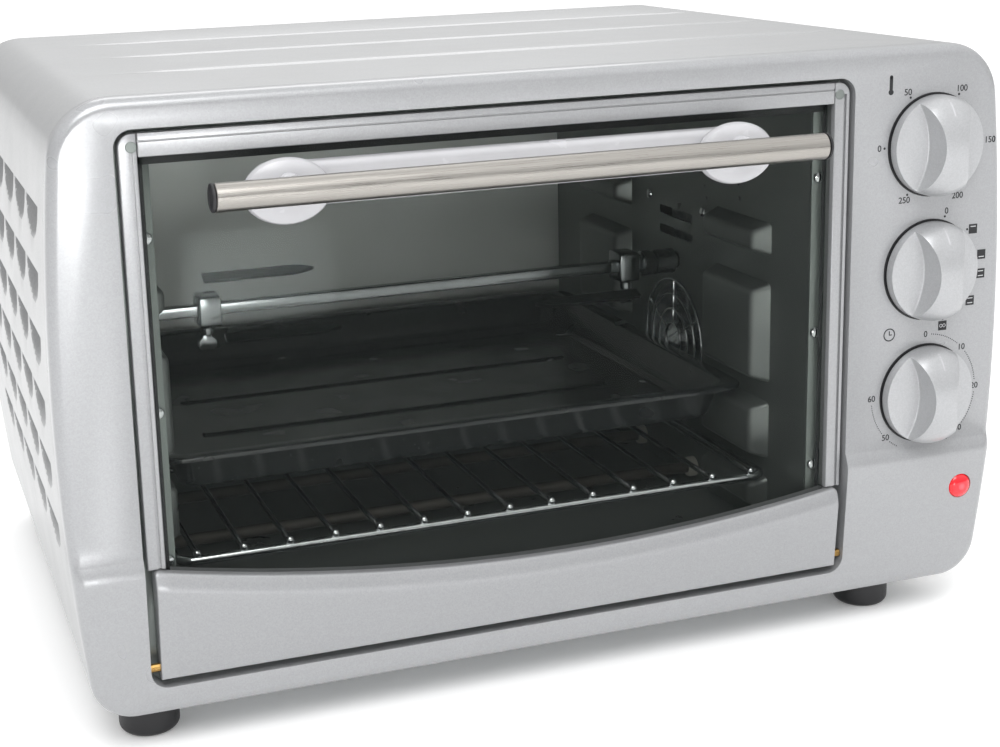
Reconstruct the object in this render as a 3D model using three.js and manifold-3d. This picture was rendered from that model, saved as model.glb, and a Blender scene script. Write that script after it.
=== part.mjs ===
// Rotisserie oven: a countertop oven with a drop-down glass door, a motor-driven spit,
// a wire rack, an enamelled tray and three control knobs.
// Millimetres. X runs to the right, Y runs to the rear, Z runs up. The origin is on the
// worktop, under the centre of the overall size.

import * as THREE from 'three';
import { mergeVertices } from 'three/addons/utils/BufferGeometryUtils.js';
import Module from 'manifold-3d';

// ---------------------------------------------------------------- driving dimensions

const WIDTH = 470;             // across the barrel-shaped sides, at mid height
const SIDE_BULGE = 9;          // how far the sides stand out at mid height
const BODY_BOTTOM = 18;        // the feet lift the body this far
const BODY_TOP = 293;
const BODY_DEPTH = 350;
const HANDLE_REACH = 36;       // handle front to bezel face
const TOP_CORNER = 28;
const BOTTOM_CORNER = 20;
const SHEET = 0.8;             // steel sheet of the wrap and the cavity
const GAP = 0.3;               // between pieces that touch
const BEZEL_DEPTH = 10.5;
const BEZEL_WALL = 3;

const FACE = -(BODY_DEPTH + HANDLE_REACH) / 2 + HANDLE_REACH;  // Y of the bezel's front face
const REAR = FACE + BODY_DEPTH;

const APERTURE = { left: -202, right: 148, bottom: 31, top: 280, corner: 8 };
const CAVITY = { left: -186, right: 132, bottom: 40, top: 270, front: FACE + 12.5, back: FACE + 325 };
const DOOR_CENTRE = (APERTURE.left + APERTURE.right) / 2;
const DOOR_FRONT = FACE - 3;
const FRAME_FRONT = FACE + 1.5;  // the stiles and top rail sit back from the bezel's face
const DOOR_BACK = FACE + 8;
const GLASS = { left: -191.7, right: 137.7, bottom: 56, top: 267.7, thickness: 3.5 };
const TRIM_BOTTOM = 35;
const TRIM_INSET = 2.5;        // the trim is this much shorter than the door at each end
const TRIM_CREASE = 65.5;      // height of the smiling crease at X = 0
const CREASE_RADIUS = 925;     // radius of the crease's arc
const TRIM_PROUD = 3;          // how far the ridge under the crease stands out
const RIDGE_DROP = 8.5;        // from the crease down to the ridge, at X = 0
const CHIN_SET_BACK = 1.5;     // below the ridge the front slopes back, to this far behind the face

const HINGE_Y = FACE + 4;
const HINGE_Z = 40;
const STAY_RADIUS = 50;
const STAY_X = [-194.5, 140.5];

const HANDLE_Y = FACE - HANDLE_REACH + 6;
const HANDLE_Z = 254;
const HANDLE_RADIUS = 6;
const HANDLE_LEFT = -169;
const HANDLE_RIGHT = 115;
const PLUG = 1.4;              // length of the black plug in each end of the handle tube
const DISC_OFFSET = 105.5;     // handle discs either side of the door's centre
const DISC_Z = 251;

const KNOB_X = 192;
const KNOB_Z = { temperature: 245, function: 183, timer: 120 };
const KNOB_RADIUS = 24.5;
const KNOB_CREST = 20;
const KNOB_FLOOR = 5.5;
const SCOOP_RADIUS = 39;
const SCOOP_OFFSET = 45.2;
const SHAFT_RADIUS = 3;
const LAMP = { x: 214.7, z: 68, radius: 6.2 };

const SPIT = { y: FACE + 155, z: 164, side: 6, left: -182, right: 118 };
const FORK_X = [-137, 100];
const TINE = { length: 61, point: 9, width: 7, spread: 28 };
const FAN = { y: FACE + 155, z: 118, guard: 35.5, mouth: 32, housing: 34, blade: 28 };
const RACK = { left: -182, right: 128, front: FACE + 40, back: FACE + 312, z: 73, wires: 14, pitch: 22.2 };
const RIB_PITCH = 63;
const TRAY = { left: -184, right: 130, front: FACE + 62, back: FACE + 314, rim: 115, floor: 95 };

// ---------------------------------------------------------------- materials

const paint = (color, roughness, metalness) => (
  new THREE.MeshStandardMaterial({ color, roughness, metalness })
);

const MATERIALS = {
  bodyPaint: paint('#c9cacb', 0.38, 0.55),
  bezelPlastic: paint('#d3d8db', 0.34, 0.35),
  trimPlastic: paint('#bcbec1', 0.34, 0.35),
  knobPlastic: paint('#d5d8db', 0.4, 0.25),
  barPlastic: paint('#d9dadf', 0.25, 0.2),
  brushedSteel: paint('#c9c6c2', 0.35, 0.9),
  plainSteel: paint('#b4b6b8', 0.3, 0.9),
  cavitySteel: paint('#a9adaa', 0.45, 0.8),
  galvanised: paint('#9fa3a5', 0.5, 0.8),
  blackPlastic: paint('#1b1b1d', 0.5, 0),
  blackEnamel: paint('#232426', 0.3, 0.1),
  blackRubber: paint('#161616', 0.85, 0),
  glass: new THREE.MeshStandardMaterial({
    color: '#3a4140', roughness: 0.05, transparent: true, opacity: 0.35,
  }),
  redLens: paint('#d5121b', 0.2, 0),
  brass: paint('#b08d4e', 0.35, 0.9),
  elementSheath: paint('#6f6a66', 0.5, 0.8),
};

// ---------------------------------------------------------------- solids

const wasm = await Module();
wasm.setup();

/** Turns a closed geometry into a manifold solid. */
function solid(geometry) {
  const bare = geometry.index ? geometry.toNonIndexed() : geometry.clone();
  bare.deleteAttribute('normal');
  bare.deleteAttribute('uv');
  const merged = mergeVertices(bare, 1e-4);
  return new wasm.Manifold(new wasm.Mesh({
    numProp: 3,
    vertProperties: new Float32Array(merged.attributes.position.array),
    triVerts: new Uint32Array(merged.index.array),
  }));
}

/** Turns a manifold solid back into a geometry. */
function geometryOf(manifold) {
  const mesh = manifold.getMesh();
  const geometry = new THREE.BufferGeometry();
  geometry.setAttribute('position', new THREE.BufferAttribute(new Float32Array(mesh.vertProperties), 3));
  geometry.setIndex(new THREE.BufferAttribute(new Uint32Array(mesh.triVerts), 1));
  geometry.computeVertexNormals();
  return geometry;
}

const join = (...shapes) => geometryOf(shapes.map(solid).reduce((a, b) => a.add(b)));
const cut = (shape, ...tools) => geometryOf(tools.map(solid).reduce((a, b) => a.subtract(b), solid(shape)));
const common = (a, b) => geometryOf(solid(a).intersect(solid(b)));

/** A box between two opposite corners. */
function box(x0, x1, y0, y1, z0, z1) {
  return new THREE.BoxGeometry(x1 - x0, y1 - y0, z1 - z0)
    .translate((x0 + x1) / 2, (y0 + y1) / 2, (z0 + z1) / 2);
}

/** A cylinder between two places along one axis ('x', 'y' or 'z'); a and b are its centre on the others. */
function rod(axis, from, to, a, b, radius, sides = 16) {
  const cylinder = new THREE.CylinderGeometry(radius, radius, to - from, sides);
  const middle = (from + to) / 2;
  if (axis === 'x') return cylinder.rotateZ(-Math.PI / 2).translate(middle, a, b);
  if (axis === 'y') return cylinder.translate(a, middle, b);
  return cylinder.rotateX(Math.PI / 2).translate(a, b, middle);
}

/** Extrudes a front-view (X, Z) shape rearwards, from one Y to another. */
function plate(shape, from, to, options = {}) {
  const bevel = options.bevel ?? 0;
  const geometry = new THREE.ExtrudeGeometry(shape, {
    depth: to - from - 2 * bevel,
    curveSegments: options.curveSegments ?? 6,
    bevelEnabled: bevel > 0,
    bevelThickness: bevel,
    bevelSize: bevel,
    bevelOffset: -bevel,
    bevelSegments: options.bevelSegments ?? 1,
  });
  return geometry.rotateX(Math.PI / 2).translate(0, to - bevel, 0);
}

/** Extrudes a side-view (Y, Z) shape along X, from one X to another. */
function sidePlate(shape, from, to, curveSegments = 6) {
  const depth = to - from;
  const geometry = new THREE.ExtrudeGeometry(shape, { depth, bevelEnabled: false, curveSegments });
  return geometry.rotateZ(Math.PI / 2).rotateY(Math.PI / 2).translate(from, 0, 0);
}

/** Turns a profile of [radius, height] points about the X axis. */
function turnedAlongX(profile, sides = 24) {
  const points = profile.map(([r, h]) => new THREE.Vector2(r, h));
  return new THREE.LatheGeometry(points, sides).rotateZ(-Math.PI / 2);
}

/** A block whose face towards the cavity is smaller than its root, as a pressing is. */
function pressing(x0, x1, y0, y1, z0, z1, slope) {
  const block = box(x0, x1, y0, y1, z0, z1);
  const position = block.attributes.position;
  const centre = [(y0 + y1) / 2, (z0 + z1) / 2];
  for (let i = 0; i < position.count; i++) {
    if (Math.abs(position.getX(i) - x1) > 1e-6) continue;
    position.setY(i, position.getY(i) - slope * Math.sign(position.getY(i) - centre[0]));
    position.setZ(i, position.getZ(i) - slope * Math.sign(position.getZ(i) - centre[1]));
  }
  return block;
}

/** A pan-shaped block: its floor is smaller than its mouth by the slope on every side. */
function panBlock(x0, x1, y0, y1, z0, z1, slope) {
  const block = box(x0, x1, y0, y1, z0, z1);
  const position = block.attributes.position;
  const centre = [(x0 + x1) / 2, (y0 + y1) / 2];
  for (let i = 0; i < position.count; i++) {
    if (Math.abs(position.getZ(i) - z0) > 1e-6) continue;
    position.setX(i, position.getX(i) - slope * Math.sign(position.getX(i) - centre[0]));
    position.setY(i, position.getY(i) - slope * Math.sign(position.getY(i) - centre[1]));
  }
  return block;
}
/** A rectangle with rounded corners. */
function roundedRect(left, right, bottom, top, corner) {
  const shape = new THREE.Shape();
  shape.moveTo(left + corner, bottom);
  shape.lineTo(right - corner, bottom);
  shape.absarc(right - corner, bottom + corner, corner, -Math.PI / 2, 0, false);
  shape.lineTo(right, top - corner);
  shape.absarc(right - corner, top - corner, corner, 0, Math.PI / 2, false);
  shape.lineTo(left + corner, top);
  shape.absarc(left + corner, top - corner, corner, Math.PI / 2, Math.PI, false);
  shape.lineTo(left, bottom + corner);
  shape.absarc(left + corner, bottom + corner, corner, Math.PI, Math.PI * 1.5, false);
  return shape;
}

/** Half the body's width at a height: the sides bulge in one shallow arc. */
function halfWidth(z) {
  const middle = (BODY_BOTTOM + BODY_TOP) / 2;
  const t = (z - middle) / (BODY_TOP - middle);
  return WIDTH / 2 - SIDE_BULGE * t * t;
}

/** Points down the right side of the body's outline, top to bottom, pulled in by an inset. */
function rightSide(inset) {
  const points = [];
  const top = BODY_TOP - inset;
  const bottom = BODY_BOTTOM + inset;
  const corner = (radius, z, from) => {
    const r = Math.max(radius - inset, 1);
    const centreX = halfWidth(z) - inset - r;
    const centreZ = z > (top + bottom) / 2 ? top - r : bottom + r;
    for (let i = 0; i <= 5; i++) {
      const angle = THREE.MathUtils.degToRad(from - 18 * i);
      points.push([centreX + r * Math.cos(angle), centreZ + r * Math.sin(angle)]);
    }
  };
  corner(TOP_CORNER, BODY_TOP - TOP_CORNER, 90);
  for (const z of [235, 205, 175, 145, 110, 75]) points.push([halfWidth(z) - inset, z]);
  corner(BOTTOM_CORNER, BODY_BOTTOM + BOTTOM_CORNER, 0);
  return points;
}

/** The body's closed front-view outline, pulled in by an inset. */
function bodyOutline(inset) {
  const right = rightSide(inset);
  const left = right.map(([x, z]) => [-x, z]).reverse();
  return new THREE.Shape([...right, ...left].map(([x, z]) => new THREE.Vector2(x, z)));
}

/** Height of the smiling crease at an X. */
const creaseHeight = (x) => TRIM_CREASE + (x * x) / (2 * CREASE_RADIUS);

/** The front-view area under the crease, between two X positions and above a bottom height. */
function underCrease(left, right, bottom) {
  const points = [[left, bottom], [right, bottom]];
  const steps = 14;
  for (let i = 0; i <= steps; i++) {
    const x = right + ((left - right) * i) / steps;
    points.push([x, creaseHeight(x)]);
  }
  return new THREE.Shape(points.map(([x, z]) => new THREE.Vector2(x, z)));
}

// ---------------------------------------------------------------- assembly

const oven = new THREE.Group();

/** Adds one named sub-part. */
function part(name, geometry, material) {
  const mesh = new THREE.Mesh(geometry, MATERIALS[material]);
  mesh.name = name;
  oven.add(mesh);
}

// ---------------------------------------------------------------- outer body

const WRAP_FRONT = FACE + BEZEL_DEPTH + GAP;
const REAR_SHEET = REAR - 1.5;

function outerWrap() {
  const outer = rightSide(0);
  const inner = rightSide(SHEET);
  const ring = [
    ...outer.map(([x, z]) => [-x, z]).reverse(),
    ...outer,
    ...inner.slice().reverse(),
    ...inner.map(([x, z]) => [-x, z]),
  ];
  const shape = new THREE.Shape(ring.map(([x, z]) => new THREE.Vector2(x, z)));
  return plate(shape, WRAP_FRONT, REAR_SHEET - GAP);
}

function basePanel() {
  const half = rightSide(0).at(-1)[0] - GAP;
  const sheet = box(-half, half, WRAP_FRONT, REAR_SHEET - GAP, BODY_BOTTOM, BODY_BOTTOM + SHEET);
  const slots = [];
  for (const x of [-120, -80, -40, 0, 40, 80, 120]) {
    for (const y of [-40, 60]) slots.push(box(x - 3, x + 3, y - 25, y + 25, BODY_BOTTOM - 1, BODY_BOTTOM + 3));
  }
  return cut(sheet, ...slots);
}

const GLAND = { x: 170, z: 55, radius: 6 };

function rearPanel() {
  const sheet = plate(bodyOutline(0), REAR_SHEET, REAR);
  const holes = [rod('y', REAR_SHEET - 1, REAR + 1, GLAND.x, GLAND.z, GLAND.radius + GAP)];
  for (let row = 0; row < 6; row++) {
    const z = 215 - row * 12;
    holes.push(box(150, 210, REAR_SHEET - 1, REAR + 1, z, z + 5));
  }
  return cut(sheet, ...holes);
}

/** All that lies before a plane leaning back from the ridge under the crease to the body's bottom edge. */
function aheadOfChin() {
  const ridge = TRIM_CREASE - RIDGE_DROP;
  const lean = (TRIM_PROUD + CHIN_SET_BACK) / (ridge - BODY_BOTTOM);
  const frontAt = (z) => FACE - TRIM_PROUD + lean * (ridge - z);
  const [low, high, ahead] = [BODY_BOTTOM - 10, ridge + 10, FACE - 20];
  const points = [[ahead, low], [frontAt(low), low], [frontAt(high), high], [ahead, high]];
  return sidePlate(new THREE.Shape(points.map(([y, z]) => new THREE.Vector2(y, z))), -WIDTH, WIDTH);
}

function frontBezel() {
  const front = { bevel: 4, bevelSegments: 2 };
  const block = plate(bodyOutline(0), FACE, FACE + BEZEL_DEPTH + 4, front);
  const chin = plate(bodyOutline(0), FACE - TRIM_PROUD, FACE + BEZEL_DEPTH + 4, front);
  const underLine = plate(underCrease(-WIDTH / 2 - 1, WIDTH / 2 + 1, 0), FACE - 10, FACE + 30);
  const behindBezel = box(-WIDTH, WIDTH, FACE + BEZEL_DEPTH, FACE + 30, 0, 400);
  const whole = join(block, common(chin, underLine));
  const { left, right, bottom, top, corner } = APERTURE;
  const aperture = plate(roundedRect(left, right, bottom, top, corner), FACE - 10, FACE + 30);
  const lip = 4;
  const around = roundedRect(left - lip, right + lip, bottom - lip, top + lip, corner + lip);
  const surround = plate(around, FACE - 9, FACE + 29);
  const pocket = cut(plate(bodyOutline(BEZEL_WALL), FACE + BEZEL_WALL, FACE + 20), surround);
  const shaftHole = (z) => rod('y', FACE - 10, FACE + 20, KNOB_X, z, SHAFT_RADIUS + 0.7);
  const holes = Object.values(KNOB_Z).map(shaftHole);
  const lampHole = rod('y', FACE - 10, FACE + 20, LAMP.x, LAMP.z, LAMP.radius + GAP, 24);
  return cut(whole, aheadOfChin(), behindBezel, aperture, pocket, ...holes, lampHole);
}

part('outer_wrap', outerWrap(), 'bodyPaint');
part('base_panel', basePanel(), 'galvanised');
part('rear_panel', rearPanel(), 'bodyPaint');
part('front_bezel', frontBezel(), 'bezelPlastic');

const FOOT_RADIUS = 14;
const FEET = {
  foot_front_left: [-200, FACE + 30],
  foot_front_right: [178, FACE + 30],
  foot_rear_left: [-200, FACE + 310],
  foot_rear_right: [178, FACE + 310],
};
for (const [name, [x, y]] of Object.entries(FEET)) {
  part(name, rod('z', 0, BODY_BOTTOM - GAP, x, y, FOOT_RADIUS, 24), 'blackPlastic');
}

// ---------------------------------------------------------------- cavity

const PAD_DEPTH = 10;
const PAD_ROWS = [[50, 68], [78, 109], [119, 172], [186, 203]];
const PAD_COLUMNS = [[FACE + 48, FACE + 108], [FACE + 212, FACE + 272]];

/** A cavity side wall with its pressed shelf pads, drawn for the left side and mirrored for the right. */
function sideWall(inner, towards, holes) {
  const { bottom, top, front, back } = CAVITY;
  const sheet = box(-SHEET, 0, front, back, bottom, top);
  const pads = [];
  const hollows = [];
  for (const [y0, y1] of PAD_COLUMNS) {
    for (const [z0, z1] of PAD_ROWS) {
      pads.push(pressing(-SHEET / 2, PAD_DEPTH, y0, y1, z0, z1, 3));
      hollows.push(pressing(-SHEET - 1, PAD_DEPTH - SHEET, y0 + 1.6, y1 - 1.6, z0 + 1.6, z1 - 1.6, 3));
    }
  }
  let wall = cut(join(sheet, ...pads), ...hollows);
  if (towards < 0) wall = geometryOf(solid(wall).mirror([1, 0, 0]));
  wall.translate(inner, 0, 0);
  return cut(wall, ...holes);
}

part('cavity_left_wall', sideWall(CAVITY.left, 1, [
  rod('x', CAVITY.left - 5, CAVITY.left + 5, SPIT.y, SPIT.z, 5),
]), 'cavitySteel');

const ventSlot = (z) => box(CAVITY.right - 5, CAVITY.right + 5, SPIT.y - 20, SPIT.y + 20, z, z + 5);
part('cavity_right_wall', sideWall(CAVITY.right, -1, [
  rod('x', CAVITY.right - 5, CAVITY.right + 5, SPIT.y, SPIT.z, 5.2),
  rod('x', CAVITY.right - 5, CAVITY.right + 5, FAN.y, FAN.z, FAN.mouth, 28),
  ventSlot(177),
  ventSlot(188),
]), 'cavitySteel');

const INSIDE = { left: CAVITY.left - SHEET, right: CAVITY.right + SHEET };
part('cavity_ceiling', box(INSIDE.left, INSIDE.right, CAVITY.front, CAVITY.back,
  CAVITY.top + GAP, CAVITY.top + GAP + SHEET), 'cavitySteel');
part('cavity_floor', box(INSIDE.left, INSIDE.right, CAVITY.front, CAVITY.back,
  CAVITY.bottom - GAP - SHEET, CAVITY.bottom - GAP), 'cavitySteel');
part('cavity_back_wall', box(INSIDE.left, INSIDE.right, CAVITY.back + GAP, CAVITY.back + GAP + SHEET,
  CAVITY.bottom - GAP - SHEET, CAVITY.top + GAP + SHEET), 'cavitySteel');

function cavityFlange() {
  const outer = roundedRect(APERTURE.left - 6, APERTURE.right + 6, APERTURE.bottom - 5, APERTURE.top + 5, 6);
  const sheet = plate(outer, FACE + BEZEL_DEPTH + GAP, CAVITY.front - GAP);
  const mouth = box(CAVITY.left, CAVITY.right, FACE, FACE + 30, CAVITY.bottom, CAVITY.top);
  const staySlots = STAY_X.map((x) => box(x - 2.5, x + 2.5, FACE, FACE + 30, 80, 98));
  return cut(sheet, mouth, ...staySlots);
}
part('cavity_front_flange', cavityFlange(), 'cavitySteel');

// Heating elements run the cavity's full width, near its roof and its floor.
const ELEMENT_RADIUS = 3.2;
const ELEMENTS = {
  upper_front_element: [FACE + 100, 257],
  upper_rear_element: [FACE + 250, 257],
  lower_front_element: [FACE + 130, 49],
  lower_rear_element: [FACE + 195, 49],
};
for (const [name, [y, z]] of Object.entries(ELEMENTS)) {
  const element = rod('x', CAVITY.left + 0.5, CAVITY.right - 0.5, y, z, ELEMENT_RADIUS, 12);
  part(name, element, 'elementSheath');
}

// ---------------------------------------------------------------- spit drive and fan

// The bracket is a forked cradle that the spit's end drops into.
function bearingBracket() {
  const left = CAVITY.left + GAP;
  const back = box(left, left + 2, SPIT.y - 12, SPIT.y + 12, SPIT.z - 22, SPIT.z + 6);
  const shelf = box(left, left + 9, SPIT.y - 8, SPIT.y + 8, SPIT.z - 12, SPIT.z + 6);
  const notch = box(left + 2, left + 20, SPIT.y - 4.6, SPIT.y + 4.6, SPIT.z - 4.6, SPIT.z + 20);
  return cut(join(back, shelf), notch);
}
part('spit_bearing_bracket', bearingBracket(), 'plainSteel');

// The gear motor stands off the wall on two posts; its gearbox nose reaches the wall at the spit.
const MOTOR_X = INSIDE.right + GAP;
const MOTOR_STANDOFF = 9;
const MOTOR_RADIUS = 25;
const MOTOR_Z = SPIT.z + 23;
const MOTOR_POST = { offset: 33, z: SPIT.z + 33, radius: 4 };
function rotisserieMotor() {
  const canFront = MOTOR_X + MOTOR_STANDOFF;
  const can = rod('x', canFront, canFront + 20, SPIT.y, MOTOR_Z, MOTOR_RADIUS, 28);
  const nose = rod('x', MOTOR_X, canFront + 1, SPIT.y, SPIT.z, 9, 20);
  const ears = box(canFront, canFront + 1.5, SPIT.y - MOTOR_POST.offset - 5, SPIT.y + MOTOR_POST.offset + 5,
    MOTOR_POST.z - 6, MOTOR_POST.z + 6);
  const posts = [-1, 1].map((side) => rod('x', MOTOR_X, canFront + 1,
    SPIT.y + side * MOTOR_POST.offset, MOTOR_POST.z, MOTOR_POST.radius));
  const shaftWell = rod('x', MOTOR_X - 1, MOTOR_X + 4, SPIT.y, SPIT.z, 5.4);
  return cut(join(can, nose, ears, ...posts), shaftWell);
}
part('rotisserie_motor', rotisserieMotor(), 'galvanised');

function fanGuard() {
  const x0 = CAVITY.right - GAP - 1.5;
  const x1 = CAVITY.right - GAP;
  const rings = [FAN.guard, FAN.guard - 11, FAN.guard - 22].map((r) => cut(
    rod('x', x0, x1, FAN.y, FAN.z, r, 28),
    rod('x', x0 - 1, x1 + 1, FAN.y, FAN.z, r - 2.5, 28),
  ));
  const spokes = [0, 60, 120].map((angle) => new THREE.BoxGeometry(x1 - x0, 2 * FAN.guard - 2, 2)
    .rotateX(THREE.MathUtils.degToRad(angle)).translate((x0 + x1) / 2, FAN.y, FAN.z));
  return join(...rings, ...spokes);
}
part('fan_guard', fanGuard(), 'plainSteel');

const FAN_BACK = INSIDE.right + 15;
const hollowCup = cut(
  rod('x', INSIDE.right + GAP, FAN_BACK, FAN.y, FAN.z, FAN.housing, 28),
  rod('x', INSIDE.right - 1, FAN_BACK - 1.2, FAN.y, FAN.z, FAN.housing - 1.5, 28),
  rod('x', INSIDE.right, FAN_BACK + 1, FAN.y, FAN.z, 2.6, 16),
);
part('fan_housing', hollowCup, 'galvanised');
part('fan_motor', cut(
  rod('x', FAN_BACK + GAP, FAN_BACK + 24, FAN.y, FAN.z, 18, 24),
  rod('x', FAN_BACK, FAN_BACK + 8, FAN.y, FAN.z, 2.6, 16),
), 'galvanised');

function fanBlade() {
  const x = INSIDE.right + 6;
  const hubRadius = 5;
  const shaft = rod('x', x - 3, FAN_BACK + 7, FAN.y, FAN.z, 2, 12);
  const hub = rod('x', x - 2.5, x + 2.5, FAN.y, FAN.z, hubRadius, 16);
  const twist = 0.5;
  const span = FAN.blade - hubRadius + 1;
  const blades = [0, 90, 180, 270].map((angle) => new THREE.BoxGeometry(1.2, span, 12)
    .rotateY(twist)
    .translate(0, FAN.blade - span / 2, 0)
    .rotateX(THREE.MathUtils.degToRad(angle))
    .translate(x, FAN.y, FAN.z));
  return join(shaft, hub, ...blades);
}
part('fan_blade', fanBlade(), 'plainSteel');

// ---------------------------------------------------------------- controls

const BEHIND_PANEL = FACE + BEZEL_WALL + GAP;
const SHAFT_END = BEHIND_PANEL + 9;

/** A control's body behind the panel, with a well for the knob's shaft. */
function controlBody(z, body) {
  return cut(body, rod('y', BEHIND_PANEL - 1, SHAFT_END + 1, KNOB_X, z, SHAFT_RADIUS + 0.5));
}
part('thermostat', controlBody(KNOB_Z.temperature, join(
  rod('y', BEHIND_PANEL, BEHIND_PANEL + 6, KNOB_X, KNOB_Z.temperature, 10),
  box(KNOB_X - 15, KNOB_X + 15, BEHIND_PANEL + 5, BEHIND_PANEL + 22,
    KNOB_Z.temperature - 20, KNOB_Z.temperature + 20),
)), 'blackPlastic');
part('function_switch', controlBody(KNOB_Z.function, join(
  rod('y', BEHIND_PANEL, BEHIND_PANEL + 6, KNOB_X, KNOB_Z.function, 10),
  box(KNOB_X - 17, KNOB_X + 17, BEHIND_PANEL + 5, BEHIND_PANEL + 30,
    KNOB_Z.function - 17, KNOB_Z.function + 17),
)), 'blackPlastic');
part('timer_mechanism', controlBody(KNOB_Z.timer, join(
  rod('y', BEHIND_PANEL, BEHIND_PANEL + 6, KNOB_X, KNOB_Z.timer, 10),
  rod('y', BEHIND_PANEL + 5, BEHIND_PANEL + 32, KNOB_X, KNOB_Z.timer, 25, 28),
)), 'galvanised');

/** A dome scooped from both sides, which leaves a vertical grip bar across it. */
function knob(z) {
  const base = FACE - 0.6;
  const crest = base - KNOB_CREST;
  const profile = [[0, 0], [KNOB_RADIUS, 0], [KNOB_RADIUS, 5], [KNOB_RADIUS - 1.5, 8]];
  profile.push([21, 12.4], [17.5, 15.8], [12.5, 18.4], [6.5, 19.7], [0, KNOB_CREST]);
  const dome = new THREE.LatheGeometry(profile.map(([r, h]) => new THREE.Vector2(r, h)), 32)
    .rotateX(Math.PI).translate(KNOB_X, base, z);
  const scoop = (side) => rod('y', crest - 5, base - KNOB_FLOOR,
    KNOB_X + side * SCOOP_OFFSET, z, SCOOP_RADIUS, 64);
  return cut(dome, scoop(-1), scoop(1));
}

/** A control shaft with a collar that fills the knob's bore. */
function shaft(z) {
  return rod('y', FACE - 0.3, SHAFT_END, KNOB_X, z, SHAFT_RADIUS);
}

for (const [name, z] of Object.entries(KNOB_Z)) {
  const shaftName = name === 'temperature' ? 'thermostat_shaft' : `${name}_shaft`;
  part(`${name}_knob`, knob(z), 'knobPlastic');
  part(shaftName, shaft(z), 'brass');
}

part('pilot_lamp_lens', join(
  rod('y', FACE - TRIM_PROUD - 0.3, FACE + BEZEL_WALL, LAMP.x, LAMP.z, LAMP.radius, 24),
  rod('y', FACE - TRIM_PROUD - 1, FACE, LAMP.x, LAMP.z, LAMP.radius - 1.6, 24),
), 'redLens');
part('pilot_lamp_body', rod('y', BEHIND_PANEL, BEHIND_PANEL + 22,
  LAMP.x, LAMP.z, LAMP.radius - 0.5, 16), 'blackPlastic');

part('cable_gland', join(
  rod('y', REAR_SHEET - 8, REAR, GLAND.x, GLAND.z, GLAND.radius, 16),
  rod('y', REAR_SHEET - 8, REAR_SHEET - GAP, GLAND.x, GLAND.z, GLAND.radius + 3, 16),
), 'blackRubber');
part('terminal_block', box(155, 187, REAR - 50, REAR - 32,
  BODY_BOTTOM + SHEET + GAP, BODY_BOTTOM + 16), 'blackPlastic');

// ---------------------------------------------------------------- door

const EDGE = 2;                // the door's clearance in its aperture
const DOOR = {
  left: APERTURE.left + EDGE, right: APERTURE.right - EDGE,
  top: APERTURE.top - EDGE, corner: APERTURE.corner - EDGE,
};
const GLASS_FRONT = FACE + 4;

part('door_glass', box(GLASS.left, GLASS.right, GLASS_FRONT, GLASS_FRONT + GLASS.thickness,
  GLASS.bottom, GLASS.top), 'glass');

function doorTrim() {
  const [left, right] = [DOOR.left + TRIM_INSET, DOOR.right - TRIM_INSET];
  const blank = plate(underCrease(left, right, TRIM_BOTTOM), DOOR_FRONT, DOOR_BACK, { bevel: 1 });
  const glassPocket = box(GLASS.left - GAP, GLASS.right + GAP, GLASS_FRONT - GAP,
    GLASS_FRONT + GLASS.thickness + GAP, GLASS.bottom - GAP, 120);
  const pinBores = [left, right].map((x) => rod('x', x - 12, x + 12, HINGE_Y, HINGE_Z, 2.3, 12));
  return cut(blank, aheadOfChin(), glassPocket, ...pinBores);
}

// The stiles run down to the trim's crease, which rises towards the door's sides.
function doorStile(outerX, innerX) {
  const [x0, x1] = [Math.min(outerX, innerX), Math.max(outerX, innerX)];
  const trimLine = plate(underCrease(x0 - 5, x1 + 5, 0), FACE - 20, FACE + 30).translate(0, 0, GAP);
  const outline = roundedRect(DOOR.left, DOOR.right, HINGE_Z, DOOR.top, DOOR.corner);
  const frame = plate(outline, FRAME_FRONT, DOOR_BACK);
  return cut(common(frame, box(x0, x1, FACE - 20, FACE + 30, HINGE_Z + 20, DOOR.top + 1)), trimLine);
}
part('door_left_stile', doorStile(DOOR.left, GLASS.left - GAP), 'trimPlastic');
part('door_right_stile', doorStile(DOOR.right, GLASS.right + GAP), 'trimPlastic');
part('door_top_rail', box(GLASS.left, GLASS.right, FRAME_FRONT, DOOR_BACK,
  GLASS.top + GAP, DOOR.top), 'trimPlastic');
part('door_lower_trim', doorTrim(), 'trimPlastic');

// The handle: a silver bar behind, two oval discs joined to it by posts, and a brushed tube across them.
const BAR = { back: GLASS_FRONT - GAP, front: FACE - 8, bottom: 243, top: 262 };
function handleBar() {
  const left = DOOR_CENTRE - DISC_OFFSET - 19;
  const right = DOOR_CENTRE + DISC_OFFSET + 19;
  const bar = plate(roundedRect(left + 6, right - 6, BAR.bottom, BAR.top, 5), BAR.front, BAR.front + 8);
  const pieces = [bar];
  for (const side of [-1, 1]) {
    const x = DOOR_CENTRE + side * DISC_OFFSET;
    const disc = new THREE.CylinderGeometry(1, 1, 14, 28).scale(19.2, 1, 14.2)
      .translate(x, BAR.front - 1, DISC_Z);
    const foot = rod('y', BAR.front, BAR.back, x, DISC_Z, 9, 20);
    const post = rod('y', HANDLE_Y, BAR.front, x, HANDLE_Z, 5.5, 16);
    pieces.push(disc, foot, post);
  }
  const seat = rod('x', left - 30, right + 30, HANDLE_Y, HANDLE_Z, HANDLE_RADIUS + GAP, 24);
  return cut(join(...pieces), seat);
}
part('handle_back_bar', handleBar(), 'barPlastic');
part('handle_tube', rod('x', HANDLE_LEFT + PLUG + GAP, HANDLE_RIGHT - PLUG - GAP,
  HANDLE_Y, HANDLE_Z, HANDLE_RADIUS, 24), 'brushedSteel');
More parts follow.
